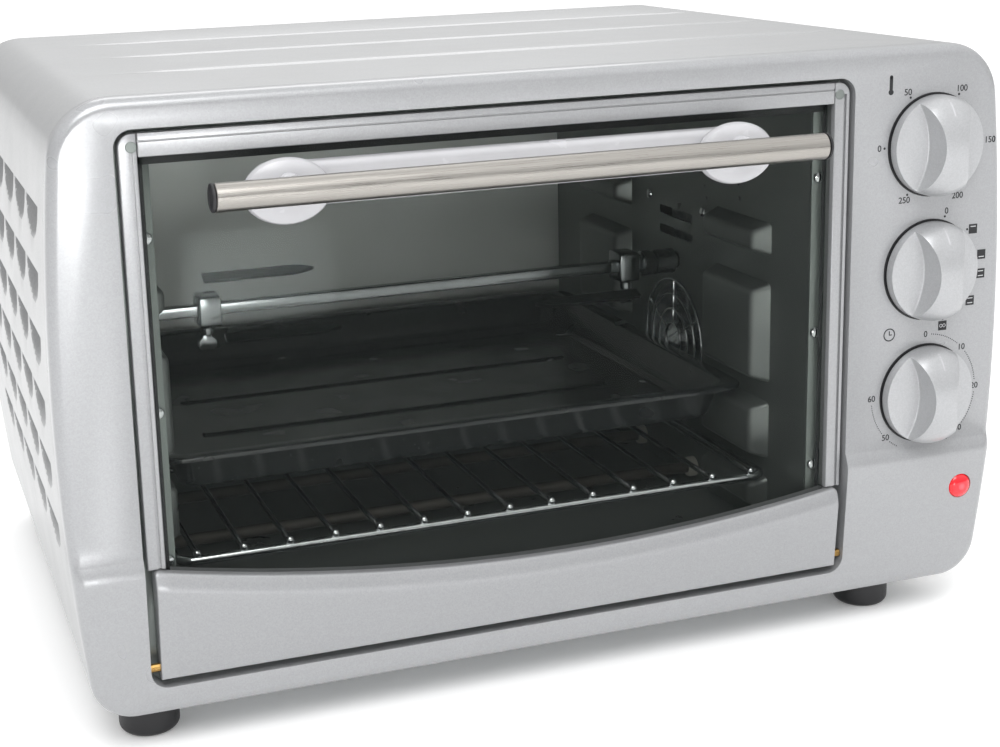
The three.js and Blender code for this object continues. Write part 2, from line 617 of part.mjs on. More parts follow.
const plugProfile = [
  [0, 0], [HANDLE_RADIUS, 0], [HANDLE_RADIUS, PLUG - 0.5], [HANDLE_RADIUS - 0.6, PLUG], [0, PLUG],
];
part('handle_left_cap', turnedAlongX(plugProfile).rotateY(Math.PI)
  .translate(HANDLE_LEFT + PLUG, HANDLE_Y, HANDLE_Z), 'blackPlastic');
part('handle_right_cap', turnedAlongX(plugProfile)
  .translate(HANDLE_RIGHT - PLUG, HANDLE_Y, HANDLE_Z), 'blackPlastic');

/** A flat stay curved about the hinge, so it slides through its slot as the door drops. */
function doorStay(x) {
  const shape = new THREE.Shape();
  const start = THREE.MathUtils.degToRad(79.5);
  const end = THREE.MathUtils.degToRad(-14);
  const arc = (radius, from, to, clockwise) => shape.absarc(HINGE_Y, HINGE_Z, radius, from, to, clockwise);
  arc(STAY_RADIUS + 4, start, end, true);
  arc(STAY_RADIUS - 4, end, start, false);
  return sidePlate(shape, x - 1, x + 1, 14);
}
part('door_stay_left', doorStay(STAY_X[0]), 'plainSteel');
part('door_stay_right', doorStay(STAY_X[1]), 'plainSteel');

// Each hinge pin is fixed in the bezel's side and turns in the trim's bore.
part('hinge_pin_left', rod('x', APERTURE.left + GAP, DOOR.left + 9, HINGE_Y, HINGE_Z, 2, 12), 'brass');
part('hinge_pin_right', rod('x', DOOR.right - 9, APERTURE.right - GAP, HINGE_Y, HINGE_Z, 2, 12), 'brass');

// ---------------------------------------------------------------- spit and forks

function spitRod() {
  const half = SPIT.side / 2;
  const bar = box(SPIT.left + 5, SPIT.right, SPIT.y - half, SPIT.y + half, SPIT.z - half, SPIT.z + half);
  const tip = new THREE.CylinderGeometry(0.6, half, 6, 12).rotateZ(Math.PI / 2)
    .translate(SPIT.left + 3, SPIT.y, SPIT.z);
  return join(bar, tip);
}
part('spit_rod', spitRod(), 'plainSteel');

function driveCoupler() {
  const sleeve = rod('x', SPIT.right - 8, CAVITY.right - 2, SPIT.y, SPIT.z, 7, 20);
  const journal = rod('x', CAVITY.right - 4, MOTOR_X + 2.5, SPIT.y, SPIT.z, 4.4, 16);
  const socket = SPIT.side / 2 + GAP;
  const bore = box(SPIT.right - 9, SPIT.right + GAP, SPIT.y - socket, SPIT.y + socket,
    SPIT.z - socket, SPIT.z + socket);
  return cut(join(sleeve, journal), bore);
}
part('drive_coupler', driveCoupler(), 'galvanised');

/** A meat fork: a slotted block on the spit, a cross strap and two long flat tines. */
function meatFork(x, inwards) {
  const block = box(x - 6, x + 6, SPIT.y - 8, SPIT.y + 8, SPIT.z - 8, SPIT.z + 8);
  const tilt = THREE.MathUtils.degToRad(22);
  const strap = new THREE.BoxGeometry(2, 62, 9).rotateX(tilt).translate(x + inwards * 4.5, SPIT.y, SPIT.z);
  const tines = [-1, 1].map((side) => {
    const blade = new THREE.Shape();
    const half = TINE.width / 2;
    const shoulder = TINE.length - TINE.point;
    blade.moveTo(0, -half);
    blade.lineTo(shoulder, -half);
    blade.lineTo(TINE.length, 0);
    blade.lineTo(shoulder, half);
    blade.lineTo(0, half);
    const tine = new THREE.ExtrudeGeometry(blade, { depth: 2, bevelEnabled: false }).rotateX(Math.PI / 2);
    if (inwards < 0) tine.rotateZ(Math.PI);
    return tine.translate(inwards * 3.5, side * TINE.spread, 1).rotateX(tilt).translate(x, SPIT.y, SPIT.z);
  });
  const clear = SPIT.side / 2 + GAP;
  const bore = box(x - 10, x + 10, SPIT.y - clear, SPIT.y + clear, SPIT.z - clear, SPIT.z + clear);
  const screwHole = rod('z', SPIT.z - 12, SPIT.z, x - inwards, SPIT.y, 2.2, 12);
  return cut(join(block, strap, ...tines), bore, screwHole);
}

/** A thumb screw that clamps a fork to the spit. */
function forkScrew(x, inwards) {
  const at = x - inwards;
  const thread = rod('z', SPIT.z - 14, SPIT.z - SPIT.side / 2 - GAP, at, SPIT.y, 1.9, 12);
  const wing = box(at - 5, at + 5, SPIT.y - 1.2, SPIT.y + 1.2, SPIT.z - 22, SPIT.z - 12);
  const collar = rod('z', SPIT.z - 13.5, SPIT.z - 9, at, SPIT.y, 3.4, 12);
  return join(thread, wing, collar);
}

part('left_fork', meatFork(FORK_X[0], 1), 'plainSteel');
part('left_fork_screw', forkScrew(FORK_X[0], 1), 'plainSteel');
part('right_fork', meatFork(FORK_X[1], -1), 'plainSteel');
part('right_fork_screw', forkScrew(FORK_X[1], -1), 'plainSteel');

// ---------------------------------------------------------------- rack and tray

function wireRack() {
  const r = 2.2;
  const { left, right, front, back, z } = RACK;
  const pieces = [
    rod('y', front, back, left + r, z, r, 10),
    rod('y', front, back, right - r, z, r, 10),
    rod('x', left + r, right - r, front, z, r, 10),
    rod('x', left + r, right - r, back, z, r, 10),
  ];
  const first = DOOR_CENTRE - (RACK.pitch * (RACK.wires - 1)) / 2;
  for (let i = 0; i < RACK.wires; i++) {
    const x = first + i * RACK.pitch;
    if (x - left < 6 || right - x < 6) continue;
    pieces.push(rod('y', front - 2, back, x, z + 2.4, 1.4, 8));
  }
  pieces.push(rod('x', left + r, right - r, (front + back) / 2, z - 1, 1.8, 8));
  return join(...pieces);
}
part('wire_rack', wireRack(), 'plainSteel');

function bakingTray() {
  const { left, right, front, back, rim, floor } = TRAY;
  const wall = 1;
  const flange = box(left, right, front, back, rim - wall, rim);
  const pan = panBlock(left + 10, right - 10, front + 10, back - 10, floor, rim - wall / 2, 6);
  const well = panBlock(left + 10 + wall, right - 10 - wall, front + 10 + wall, back - 10 - wall,
    floor + wall, rim + 1, 6);
  const middle = (front + back) / 2;
  const ribs = [-1.5, -0.5, 0.5, 1.5].map((step) => {
    const y = middle + step * RIB_PITCH;
    return box(left + 40, right - 40, y - 4, y + 4, floor + 0.5, floor + wall + 1.2);
  });
  return join(cut(join(flange, pan), well), ...ribs);
}

part('baking_tray', bakingTray(), 'blackEnamel');

export default oven;
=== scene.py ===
# %% [markdown]
# # A countertop rotisserie oven
# The real oven is a folded steel shell behind a moulded silver front. A glass door drops
# down on two pins, a motor turns the spit, and three knobs set heat, mode and time.
# The working parts already exist as a fixed frame, in metres. This lesson dresses them:
# each cell makes one piece or one finish, and lets it ride on the part it belongs to.

# %% The frame
from math import atan2, cos, degrees, pi, radians, sin, sqrt

import bmesh
import bpy
from mathutils import Matrix, Vector


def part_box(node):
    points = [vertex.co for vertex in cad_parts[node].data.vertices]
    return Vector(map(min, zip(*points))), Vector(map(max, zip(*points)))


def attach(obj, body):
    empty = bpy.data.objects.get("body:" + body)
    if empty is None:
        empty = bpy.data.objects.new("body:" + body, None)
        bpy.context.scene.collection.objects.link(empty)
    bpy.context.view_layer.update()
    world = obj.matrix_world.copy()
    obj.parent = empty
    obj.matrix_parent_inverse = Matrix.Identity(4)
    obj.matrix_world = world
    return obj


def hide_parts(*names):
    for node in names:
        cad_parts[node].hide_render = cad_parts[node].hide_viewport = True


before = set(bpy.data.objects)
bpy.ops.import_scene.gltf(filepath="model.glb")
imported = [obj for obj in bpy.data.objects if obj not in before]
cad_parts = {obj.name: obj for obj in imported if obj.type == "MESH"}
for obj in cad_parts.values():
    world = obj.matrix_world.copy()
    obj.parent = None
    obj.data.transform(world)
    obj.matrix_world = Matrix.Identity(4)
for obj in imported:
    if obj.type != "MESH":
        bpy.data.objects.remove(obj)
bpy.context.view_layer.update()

MM = 0.001

# %% [markdown]
# ## Places
# Sizes are written in millimetres, as a maker would, and become metres where a mesh is made.
# The front face, the axes and the door's edges are read from the frame, so that the
# dressing follows the working parts if those change.


# %% Sizes and places
def box_mm(node):
    """Lowest and highest corner of a frame node, in millimetres."""
    low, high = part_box(node)
    return low / MM, high / MM


def middle_mm(node):
    """Centre of a frame node, in millimetres."""
    low, high = box_mm(node)
    return (low + high) / 2


WRAP_LOW, WRAP_HIGH = box_mm("outer_wrap")
BEZEL_LOW, BEZEL_HIGH = box_mm("front_bezel")
TRIM_PROUD = 3.0
FACE = BEZEL_LOW.y + TRIM_PROUD
BODY_BOTTOM = WRAP_LOW.z
BODY_TOP = WRAP_HIGH.z
HALF_WIDTH = WRAP_HIGH.x
SIDE_BULGE = 9.0
TOP_CORNER = 28.0
BOTTOM_CORNER = 20.0
BEZEL_BACK = BEZEL_HIGH.y
SHEET = 0.8

TRIM_LOW, TRIM_HIGH = box_mm("door_lower_trim")
DOOR_LEFT = box_mm("door_left_stile")[0].x
DOOR_RIGHT = box_mm("door_right_stile")[1].x
DOOR_TOP = box_mm("door_top_rail")[1].z
DOOR_GAP = 2.0
DOOR_CORNER = 6.0
APERTURE_LEFT = DOOR_LEFT - DOOR_GAP
APERTURE_RIGHT = DOOR_RIGHT + DOOR_GAP
APERTURE_TOP = DOOR_TOP + DOOR_GAP
APERTURE_BOTTOM = TRIM_LOW.z - 4.0
GLASS_LOW, GLASS_HIGH = box_mm("door_glass")
TRIM_CREASE = 65.5
CREASE_RADIUS = 925.0
SPIT = middle_mm("spit_rod")
FAN = middle_mm("fan_guard")
CAVITY_LEFT = box_mm("cavity_left_wall")[0].x + SHEET
CAVITY_RIGHT = box_mm("cavity_right_wall")[1].x - SHEET
print("face at", round(FACE, 2), "door from", round(DOOR_LEFT), "to", round(DOOR_RIGHT))

# %% [markdown]
# ## Camera
# The oven is seen from a little above and from its left, as on a shop page. The camera
# comes first, so that every later piece can be judged in the same view.


# %% Camera
CAMERA_AT = Vector((-305, FACE - 712, 373)) * MM
CAMERA_YAW = radians(18.8)
CAMERA_PITCH = radians(13.81)
CAMERA_ROLL = radians(-1.68)

forward = Vector((
    sin(CAMERA_YAW) * cos(CAMERA_PITCH), cos(CAMERA_YAW) * cos(CAMERA_PITCH), -sin(CAMERA_PITCH)))
level_right = forward.cross(Vector((0, 0, 1))).normalized()
level_up = level_right.cross(forward)
right = cos(CAMERA_ROLL) * level_right + sin(CAMERA_ROLL) * level_up
up = right.cross(forward)

camera_data = bpy.data.cameras.new("camera")
camera_data.lens = 62.5
camera_data.sensor_width = 36
camera_data.shift_x = 0.06
camera_data.shift_y = -0.06
camera_data.clip_start = 0.01
camera = bpy.data.objects.new("camera", camera_data)
camera.matrix_world = Matrix((
    (right.x, up.x, -forward.x, CAMERA_AT.x),
    (right.y, up.y, -forward.y, CAMERA_AT.y),
    (right.z, up.z, -forward.z, CAMERA_AT.z),
    (0, 0, 0, 1),
))
bpy.context.scene.collection.objects.link(camera)
bpy.context.scene.camera = camera
print("camera stands", round(CAMERA_AT.length, 2), "m from the origin")

# %% [markdown]
# ## A small kit for materials
# Every finish is a Principled shader fed by a few pattern nodes. One function turns an
# sRGB hex colour to linear light, and one adds a node with its settings and links.


# %% Colour and node helpers
def linear(hex_colour):
    """An sRGB hex colour as linear RGBA."""
    channels = [int(hex_colour[i:i + 2], 16) / 255 for i in (1, 3, 5)]
    return [c / 12.92 if c <= 0.04045 else ((c + 0.055) / 1.055) ** 2.4 for c in channels] + [1.0]


def add(tree, kind, values=None, links=None, **settings):
    """Adds a shader node with its settings, socket values and links."""
    made = tree.nodes.new("ShaderNode" + kind)
    for key, value in settings.items():
        setattr(made, key, value)
    for key, value in (values or {}).items():
        made.inputs[key].default_value = value
    for key, source in (links or {}).items():
        tree.links.new(source, made.inputs[key])
    return made


def start_material(name, values):
    """A named material with one Principled shader, and Object coordinates to pattern it."""
    material = bpy.data.materials.new(name)
    material.use_nodes = True
    tree = material.node_tree
    tree.nodes.clear()
    shader = add(tree, "BsdfPrincipled", values)
    output = add(tree, "OutputMaterial", links={"Surface": shader.outputs[0]})
    output.location = (400, 0)
    coords = add(tree, "TexCoord").outputs["Object"]
    return material, tree, shader, coords


def vary(tree, shader, coords, socket, size_mm, low, high, detail=2.0, stretch=(1, 1, 1)):
    """Feeds a socket with noise between two values; size_mm is the size of one patch."""
    scaled = add(tree, "Mapping", {"Scale": stretch}, {"Vector": coords}).outputs[0]
    noise = add(tree, "TexNoise", {"Scale": 1 / (size_mm * MM), "Detail": detail}, {"Vector": scaled})
    spread = add(tree, "MapRange", {"From Min": 0.3, "From Max": 0.7, "To Min": low, "To Max": high},
                 {"Value": noise.outputs[0]})
    tree.links.new(spread.outputs[0], shader.inputs[socket])
    return noise


def tint(tree, shader, fac, dark, light):
    """Feeds the base colour with a mix of two colours."""
    mix = add(tree, "Mix", {"A": linear(dark), "B": linear(light)}, data_type="RGBA")
    mix.inputs[6].default_value = linear(dark)
    mix.inputs[7].default_value = linear(light)
    tree.links.new(fac, mix.inputs[0])
    tree.links.new(mix.outputs[2], shader.inputs["Base Color"])
    return mix


def bump(tree, shader, height, depth_mm):
    """Feeds the normal with a bump of a real depth."""
    made = add(tree, "Bump", {"Strength": 1.0, "Distance": depth_mm * MM}, {"Height": height})
    tree.links.new(made.outputs[0], shader.inputs["Normal"])


print("material kit ready")

# %% [markdown]
# ## Silver metallic paint
# The shell is steel sprayed with a silver paint. Aluminium flakes in the paint give a fine
# sparkle, and the spray leaves a faint orange peel. The flakes are too fine to show, so
# they are drawn at 0.6 mm. The moulded front has the same paint, a little smoother.


# %% Silver paints
def silver_paint(name, dark, light, roughness, peel_mm):
    material, tree, shader, coords = start_material(name, {
        "Metallic": 0.35, "Coat Weight": 0.25, "Coat Roughness": 0.12, "IOR": 1.5,
    })
    flakes = add(tree, "TexVoronoi", {"Scale": 1 / (0.6 * MM)}, {"Vector": coords})
    softened = add(tree, "MapRange", {"From Min": 0.0, "From Max": 1.0, "To Min": 0.15, "To Max": 0.85},
                   {"Value": flakes.outputs["Color"]})
    tint(tree, shader, softened.outputs[0], dark, light)
    vary(tree, shader, coords, "Roughness", 35, roughness - 0.03, roughness + 0.04)
    peel = add(tree, "TexNoise", {"Scale": 1 / (2.2 * MM), "Detail": 1.0}, {"Vector": coords})
    bump(tree, shader, peel.outputs[0], peel_mm)
    return material


WRAP_PAINT = silver_paint("silver spray paint on steel", "#9b9c9d", "#acadae", 0.38, 0.02)
# A darker copy of the silver paint for the louvres' hollows and the shell's rounded bottom edges: painted
# shade.
LOUVRE_PAINTED_SHADE = silver_paint("silver paint darkened as painted shade in the louvres", "#7a7b7c", "#88898a", 0.42, 0.02)
FRONT_PAINT = silver_paint("silver paint on ABS", "#98999b", "#a6a7a9", 0.30, 0.012)
TRIM_PAINT = silver_paint("silver paint on ABS trim", "#949597", "#a2a3a5", 0.32, 0.012)
KNOB_PAINT = silver_paint("satin silver ABS", "#a5a6a8", "#b4b5b7", 0.34, 0.008)
print("made", WRAP_PAINT.name)

# %% [markdown]
# ## Bare and plated metals
# The handle tube is steel brushed along its length, so its streaks run along X. The rack
# is chrome-plated wire, and the plating on the spit and its forks is duller. The cavity is
# aluminised sheet, dull and a little blotchy, and darker where it has been heated. The
# motors' cans are galvanised, with the crystal spangle that zinc leaves.


# %% Metals
def brushed_steel():
    material, tree, shader, coords = start_material("steel brushed lengthways", {"Metallic": 1.0})
    streaks = vary(tree, shader, coords, "Roughness", 0.35, 0.24, 0.40, 3.0, (0.015, 1, 1))
    tint(tree, shader, streaks.outputs[0], "#94908b", "#b4b1ac")
    bump(tree, shader, streaks.outputs[0], 0.006)
    return material


def chrome_plate(name, dark, light):
    material, tree, shader, coords = start_material(name, {"Metallic": 1.0})
    haze = vary(tree, shader, coords, "Roughness", 6, 0.10, 0.24)
    tint(tree, shader, haze.outputs[0], dark, light)
    return material


def aluminised_sheet(name, dark, light, roughness):
    material, tree, shader, coords = start_material(name, {"Metallic": 0.55, "IOR": 1.5})
    cloud = vary(tree, shader, coords, "Roughness", 30, roughness - 0.07, roughness + 0.09, 5.0)
    tint(tree, shader, cloud.outputs[0], dark, light)
    grain = add(tree, "TexNoise", {"Scale": 1 / (0.8 * MM), "Detail": 2.0}, {"Vector": coords})
    bump(tree, shader, grain.outputs[0], 0.01)
    return material


def galvanised_sheet():
    material, tree, shader, coords = start_material("galvanised sheet", {"Metallic": 0.85})
    spangle = add(tree, "TexVoronoi", {"Scale": 1 / (5 * MM)}, {"Vector": coords})
    tint(tree, shader, spangle.outputs["Color"], "#8e9395", "#b0b4b6")
    vary(tree, shader, coords, "Roughness", 8, 0.36, 0.52)
    return material


def oxidised_sheath():
    material, tree, shader, coords = start_material("heat-darkened element sheath", {"Metallic": 0.7})
    bands = vary(tree, shader, coords, "Roughness", 14, 0.42, 0.62, 4.0)
    tint(tree, shader, bands.outputs[0], "#3b3734", "#77706a")
    return material


def plain_brass():
    material, tree, shader, coords = start_material("turned brass", {"Metallic": 1.0})
    wear = vary(tree, shader, coords, "Roughness", 3, 0.25, 0.42)
    tint(tree, shader, wear.outputs[0], "#8f7040", "#b6945a")
    return material


HANDLE_STEEL = brushed_steel()
CHROME = chrome_plate("chrome plate on wire", "#b9bcbe", "#dfe1e2")
SPIT_STEEL = chrome_plate("dulled chrome plate on the spit", "#6c6f70", "#8b8e8f")
CAVITY_STEEL = aluminised_sheet("aluminised cavity sheet", "#606362", "#7b7f7d", 0.34)
# The back sheet is the cavity's aluminised steel in a much lighter tone: painted light for the light that
# falls on the back of the cavity.
BACK_SHEET_PAINTED_LIGHT = aluminised_sheet("matt aluminised back sheet lightened as painted light", "#c5c8c6", "#d7dad8", 0.55)
FLANGE_STEEL = aluminised_sheet("aluminised flange sheet", "#6d7370", "#838986", 0.40)
GALVANISED = galvanised_sheet()
SHEATH = oxidised_sheath()
BRASS = plain_brass()
print("metals ready")

# %% [markdown]
# ## Plastics, rubber, enamel and ink
# The handle's bar is a glossy pale silver plastic. The feet and end caps are black
# polypropylene with a fine eroded texture. The tray is dipped in black vitreous enamel,
# which pools smooth and carries tiny pale specks. The dials are printed with matt ink.


# %% Plastics, enamel and ink
def moulded(name, dark, light, roughness, grain_mm, grain_depth):
    material, tree, shader, coords = start_material(name, {"IOR": 1.5})
    grain = vary(tree, shader, coords, "Roughness", grain_mm, roughness - 0.05, roughness + 0.06, 3.0)
    tint(tree, shader, grain.outputs[0], dark, light)
    bump(tree, shader, grain.outputs[0], grain_depth)
    return material


def vitreous_enamel():
    material, tree, shader, coords = start_material("black vitreous enamel", {"IOR": 1.52})
    specks = add(tree, "TexVoronoi", {"Scale": 1 / (3.2 * MM)}, {"Vector": coords})
    fleck = add(tree, "MapRange", {"From Min": 0.10, "From Max": 0.05, "To Min": 0.0, "To Max": 0.6},
                {"Value": specks.outputs["Distance"]})
    tint(tree, shader, fleck.outputs[0], "#1c1e20", "#8b9092")
    pooled = vary(tree, shader, coords, "Roughness", 25, 0.16, 0.28)
    bump(tree, shader, pooled.outputs[0], 0.05)
    return material


BAR_PLASTIC = moulded("glossy silver polypropylene", "#b6b6b9", "#c4c4c7", 0.22, 12, 0.005)
BLACK_PLASTIC = moulded("black polypropylene", "#141416", "#202023", 0.46, 0.7, 0.03)
BLACK_RUBBER = moulded("black rubber", "#101011", "#1c1c1d", 0.78, 0.9, 0.04)
INK = moulded("matt black dial ink", "#17181a", "#242528", 0.6, 1.5, 0.004)
ENAMEL = vitreous_enamel()
print("plastics and enamel ready")

# %% [markdown]
# ## Door glass
# Toughened glass is clear, and so thin beside its size that it doesn't bend what is behind
# it. A transparent shader lets the room's light into the cavity, and a sharp gloss on top,
# stronger at a slant and alike from both sides, gives the pane its reflections. The gloss
# is toned down, as the real pane faces a dark room, and a very faint uneven haze dulls it.


# %% Glass and lamp
def door_glass():
    material = bpy.data.materials.new("toughened door glass")
    material.use_nodes = True
    tree = material.node_tree
    tree.nodes.clear()
    coords = add(tree, "TexCoord").outputs["Object"]
    haze = add(tree, "TexNoise", {"Scale": 1 / (60 * MM), "Detail": 2.0}, {"Vector": coords})
    rough = add(tree, "MapRange", {"To Min": 0.02, "To Max": 0.09}, {"Value": haze.outputs[0]})
    clear = add(tree, "BsdfTransparent", {"Color": linear("#f4f5f4")})
    gloss = add(tree, "BsdfGlossy", {"Color": linear("#5d6261")}, {"Roughness": rough.outputs[0]})
    slant = add(tree, "LayerWeight", {"Blend": 0.5}).outputs["Facing"]
    steep = add(tree, "Math", {1: 5.0}, {0: slant}, operation="POWER").outputs[0]
    edge = add(tree, "Math", {1: 0.96, 2: 0.04}, {0: steep}, operation="MULTIPLY_ADD")
    mixed = add(tree, "MixShader", links={0: edge.outputs[0], 1: clear.outputs[0], 2: gloss.outputs[0]})
    add(tree, "OutputMaterial", links={"Surface": mixed.outputs[0]})
    return material


def lit_lens(centre):
    """A red lens lit from behind: nearly white at its middle and deep red at its rim."""
    material, tree, shader, coords = start_material("red lamp lens", {
        "Roughness": 0.12, "IOR": 1.49, "Coat Weight": 0.5, "Emission Strength": 1.25,
    })
    shift = tuple(-c * MM for c in centre)
    centred = add(tree, "Mapping", {"Location": shift}, {"Vector": coords}).outputs[0]
    apart = add(tree, "VectorMath", links={0: centred}, operation="LENGTH").outputs["Value"]
    ramp = add(tree, "ValToRGB", links={0: add(tree, "MapRange", {
        "From Min": 0.0, "From Max": 7.0 * MM}, {"Value": apart}).outputs[0]})
    stops = ramp.color_ramp.elements
    stops[0].color = linear("#fff2f4")
    stops[1].color = linear("#8d0710")
    stops.new(0.28).color = linear("#ff7c86")
    stops.new(0.55).color = linear("#dd1420")
    tree.links.new(ramp.outputs[0], shader.inputs["Base Color"])
    tree.links.new(ramp.outputs[0], shader.inputs["Emission Color"])
    return material


GLASS = door_glass()
LENS = lit_lens(middle_mm("pilot_lamp_lens"))
print("glass and lens ready")

# %% [markdown]
# ## A small kit for shapes
# Shapes start as a chain of points, a circle or a cube, and are turned, extruded, bevelled
# or cut. `finished` turns a bmesh into a piece: it marks sharp edges, gives it a material,
# and says which part it rides on and which plain part it stands for.


# %% Shape helpers
SHARP_ANGLE = radians(32)


def chain(bm, points, closed=True):
    """Joins points in millimetres into a chain of edges and returns its vertices."""
    verts = [bm.verts.new(Vector(p) * MM) for p in points]
    for a, b in zip(verts, verts[1:] + (verts[:1] if closed else [])):
        bm.edges.new((a, b))
    return verts


def lathe(bm, profile, centre, axis, segments=48):
    """Spins [radius, height] points about an axis; the profile starts and ends on that axis."""
    verts = chain(bm, [(r, 0, h) for r, h in profile], closed=False)
    edges = list({e for v in verts for e in v.link_edges})
    made = bmesh.ops.spin(bm, geom=verts + edges, cent=(0, 0, 0), axis=(0, 0, 1), angle=2 * pi,
                          steps=segments, use_merge=True, use_duplicate=False)
    whole = set(verts) | {g for g in made["geom_last"] if isinstance(g, bmesh.types.BMVert)}
    whole = island(whole)
    bmesh.ops.remove_doubles(bm, verts=whole, dist=1e-6)
    whole = island([v for v in whole if v.is_valid][:1])
    turn = Vector((0, 0, 1)).rotation_difference(Vector(axis)).to_matrix()
    bmesh.ops.rotate(bm, cent=(0, 0, 0), matrix=turn, verts=whole)
    bmesh.ops.translate(bm, vec=Vector(centre) * MM, verts=whole)
    faces = list({f for v in whole for f in v.link_faces})
    bmesh.ops.recalc_face_normals(bm, faces=faces)
    return whole


def island(seeds):
    """Every vertex joined to the seeds."""
    found = set(seeds)
    fresh = list(found)
    while fresh:
        vert = fresh.pop()
        for edge in vert.link_edges:
            other = edge.other_vert(vert)
            if other not in found:
                found.add(other)
                fresh.append(other)
    return list(found)


def rod(bm, start, end, radius, segments=16, round_end=0.35):
    """A round bar between two points, with softened ends."""
    start, end = Vector(start), Vector(end)
    length = (end - start).length
    soft = min(radius * round_end, length / 3)
    profile = [(0, 0), (radius - soft, 0), (radius - soft * 0.3, soft * 0.3), (radius, soft),
               (radius, length - soft), (radius - soft * 0.3, length - soft * 0.3),
               (radius - soft, length), (0, length)]
    return lathe(bm, profile, start, end - start, segments)


def block(bm, low, high, edge=0.5, segments=2):
    """A box between two corners with every edge softened."""
    low, high = Vector(low), Vector(high)
    made = bmesh.ops.create_cube(bm, size=1.0)["verts"]
    bmesh.ops.scale(bm, vec=(high - low) * MM, verts=made)
    bmesh.ops.translate(bm, vec=(low + high) / 2 * MM, verts=made)
    if edge:
        edges = list({e for v in made for e in v.link_edges})
        made = bmesh.ops.bevel(bm, geom=edges, offset=edge * MM, segments=segments, profile=0.5,
                               affect="EDGES", clamp_overlap=True, material=-1)["verts"]
        made = island(made[:1])
    return made


def slab(bm, outline, front, back, rounding=0.0, segments=4):
    """A plate from a front-view outline, from one Y to another, with a rounded front edge."""
    verts = chain(bm, [(x, back, z) for x, z in outline])
    rear = bmesh.ops.contextual_create(bm, geom=verts)["faces"]
    grown = bmesh.ops.extrude_face_region(bm, geom=rear)["geom"]
    moved = [g for g in grown if isinstance(g, bmesh.types.BMVert)]
    bmesh.ops.translate(bm, vec=(0, (front - back) * MM, 0), verts=moved)
    whole = island(moved[:1])
    faces = list({f for v in whole for f in v.link_faces})
    bmesh.ops.recalc_face_normals(bm, faces=faces)
    if rounding:
        rim = [e for e in {e for v in moved for e in v.link_edges}
               if all(abs(v.co.y - front * MM) < 1e-7 for v in e.verts)]
        made = bmesh.ops.bevel(bm, geom=rim, offset=rounding * MM, segments=segments, profile=0.5,
                               affect="EDGES", clamp_overlap=True, material=-1)
        whole = island(made["verts"][:1])
    return whole


def arc(centre, radius, start, end, steps):
    """Points on a circle, angles in degrees."""
    return [(centre[0] + radius * cos(radians(start + (end - start) * i / steps)),
             centre[1] + radius * sin(radians(start + (end - start) * i / steps)))
            for i in range(steps + 1)]


def rounded(left, right, bottom, top, radius, steps=6):
    """A rectangle's outline with round corners."""
    return (arc((right - radius, bottom + radius), radius, -90, 0, steps)
            + arc((right - radius, top - radius), radius, 0, 90, steps)
            + arc((left + radius, top - radius), radius, 90, 180, steps)
            + arc((left + radius, bottom + radius), radius, 180, 270, steps))


def carve(bm, *cutters):
    """Cuts solid shapes out of a bmesh, exactly. Each cutter is a function that fills a bmesh."""
    target_mesh = bpy.data.meshes.new("target")
    bm.to_mesh(target_mesh)
    target = bpy.data.objects.new("target", target_mesh)
    bpy.context.scene.collection.objects.link(target)
    made = [target]
    for cutter in cutters:
        tool = bmesh.new()
        cutter(tool)
        bmesh.ops.recalc_face_normals(tool, faces=tool.faces)
        mesh = bpy.data.meshes.new("cutter")
        tool.to_mesh(mesh)
        tool.free()
        blade = bpy.data.objects.new("cutter", mesh)
        bpy.context.scene.collection.objects.link(blade)
        made.append(blade)
        modifier = target.modifiers.new("cut", "BOOLEAN")
        modifier.operation = "DIFFERENCE"
        modifier.solver = "EXACT"
        modifier.object = blade
    bpy.context.view_layer.update()
    cut = target.evaluated_get(bpy.context.evaluated_depsgraph_get())
    result = cut.to_mesh()
    bm.clear()
    bm.from_mesh(result)
    cut.to_mesh_clear()
    for item in made:
        bpy.data.objects.remove(item)


def soften(bm, width, angle=40, segments=2, keep=lambda edge: True):
    """Bevels the edges sharper than an angle."""
    sharp = [e for e in bm.edges if len(e.link_faces) == 2
             and e.calc_face_angle(0) > radians(angle) and keep(e)]
    bmesh.ops.bevel(bm, geom=sharp, offset=width * MM, segments=segments, profile=0.5,
                    affect="EDGES", clamp_overlap=True, material=-1)


def finished(name, bm, material, body, slot, *stands_for, sharp=SHARP_ANGLE):
    """Turns a bmesh into a piece that rides on a body."""
    for face in bm.faces:
        face.smooth = True
    for edge in bm.edges:
        edge.smooth = not (len(edge.link_faces) == 2 and edge.calc_face_angle(0) > sharp)
    mesh = bpy.data.meshes.new(name)
    bm.to_mesh(mesh)
    bm.free()
    mesh.materials.append(material)
    piece = bpy.data.objects.new(name, mesh)
    bpy.context.scene.collection.objects.link(piece)
    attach(piece, body)
    if stands_for:
        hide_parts(*stands_for)
    print(name, len(mesh.polygons), "faces")
    return piece


# %% [markdown]
# ## The barrel outline
# Seen from the front, the sides bulge in one shallow arc and the corners are round. The
# front, the shell and the rear panel all share this outline, so it is one function.


# %% Outline
MID_HEIGHT = (BODY_BOTTOM + BODY_TOP) / 2


def half_width(z):
    """Half the body's width at a height."""
    t = (z - MID_HEIGHT) / (BODY_TOP - MID_HEIGHT)
    return HALF_WIDTH - SIDE_BULGE * t * t


def lean(z):
    """How far the side leans from upright at a height, in degrees; positive near the top."""
    reach = BODY_TOP - MID_HEIGHT
    return degrees(atan2(2 * SIDE_BULGE * (z - MID_HEIGHT) / reach, reach))


def corner(radius, edge, sign, steps):
    """A corner's arc from flat to side: sign 1 at the top and -1 at the bottom."""
    centre_z = edge - sign * radius
    slope = abs(lean(centre_z))
    end_z = centre_z + sign * radius * sin(radians(slope))
    centre_x = half_width(end_z) - radius * cos(radians(slope))
    return arc((centre_x, centre_z), radius, sign * 90, sign * slope, steps)


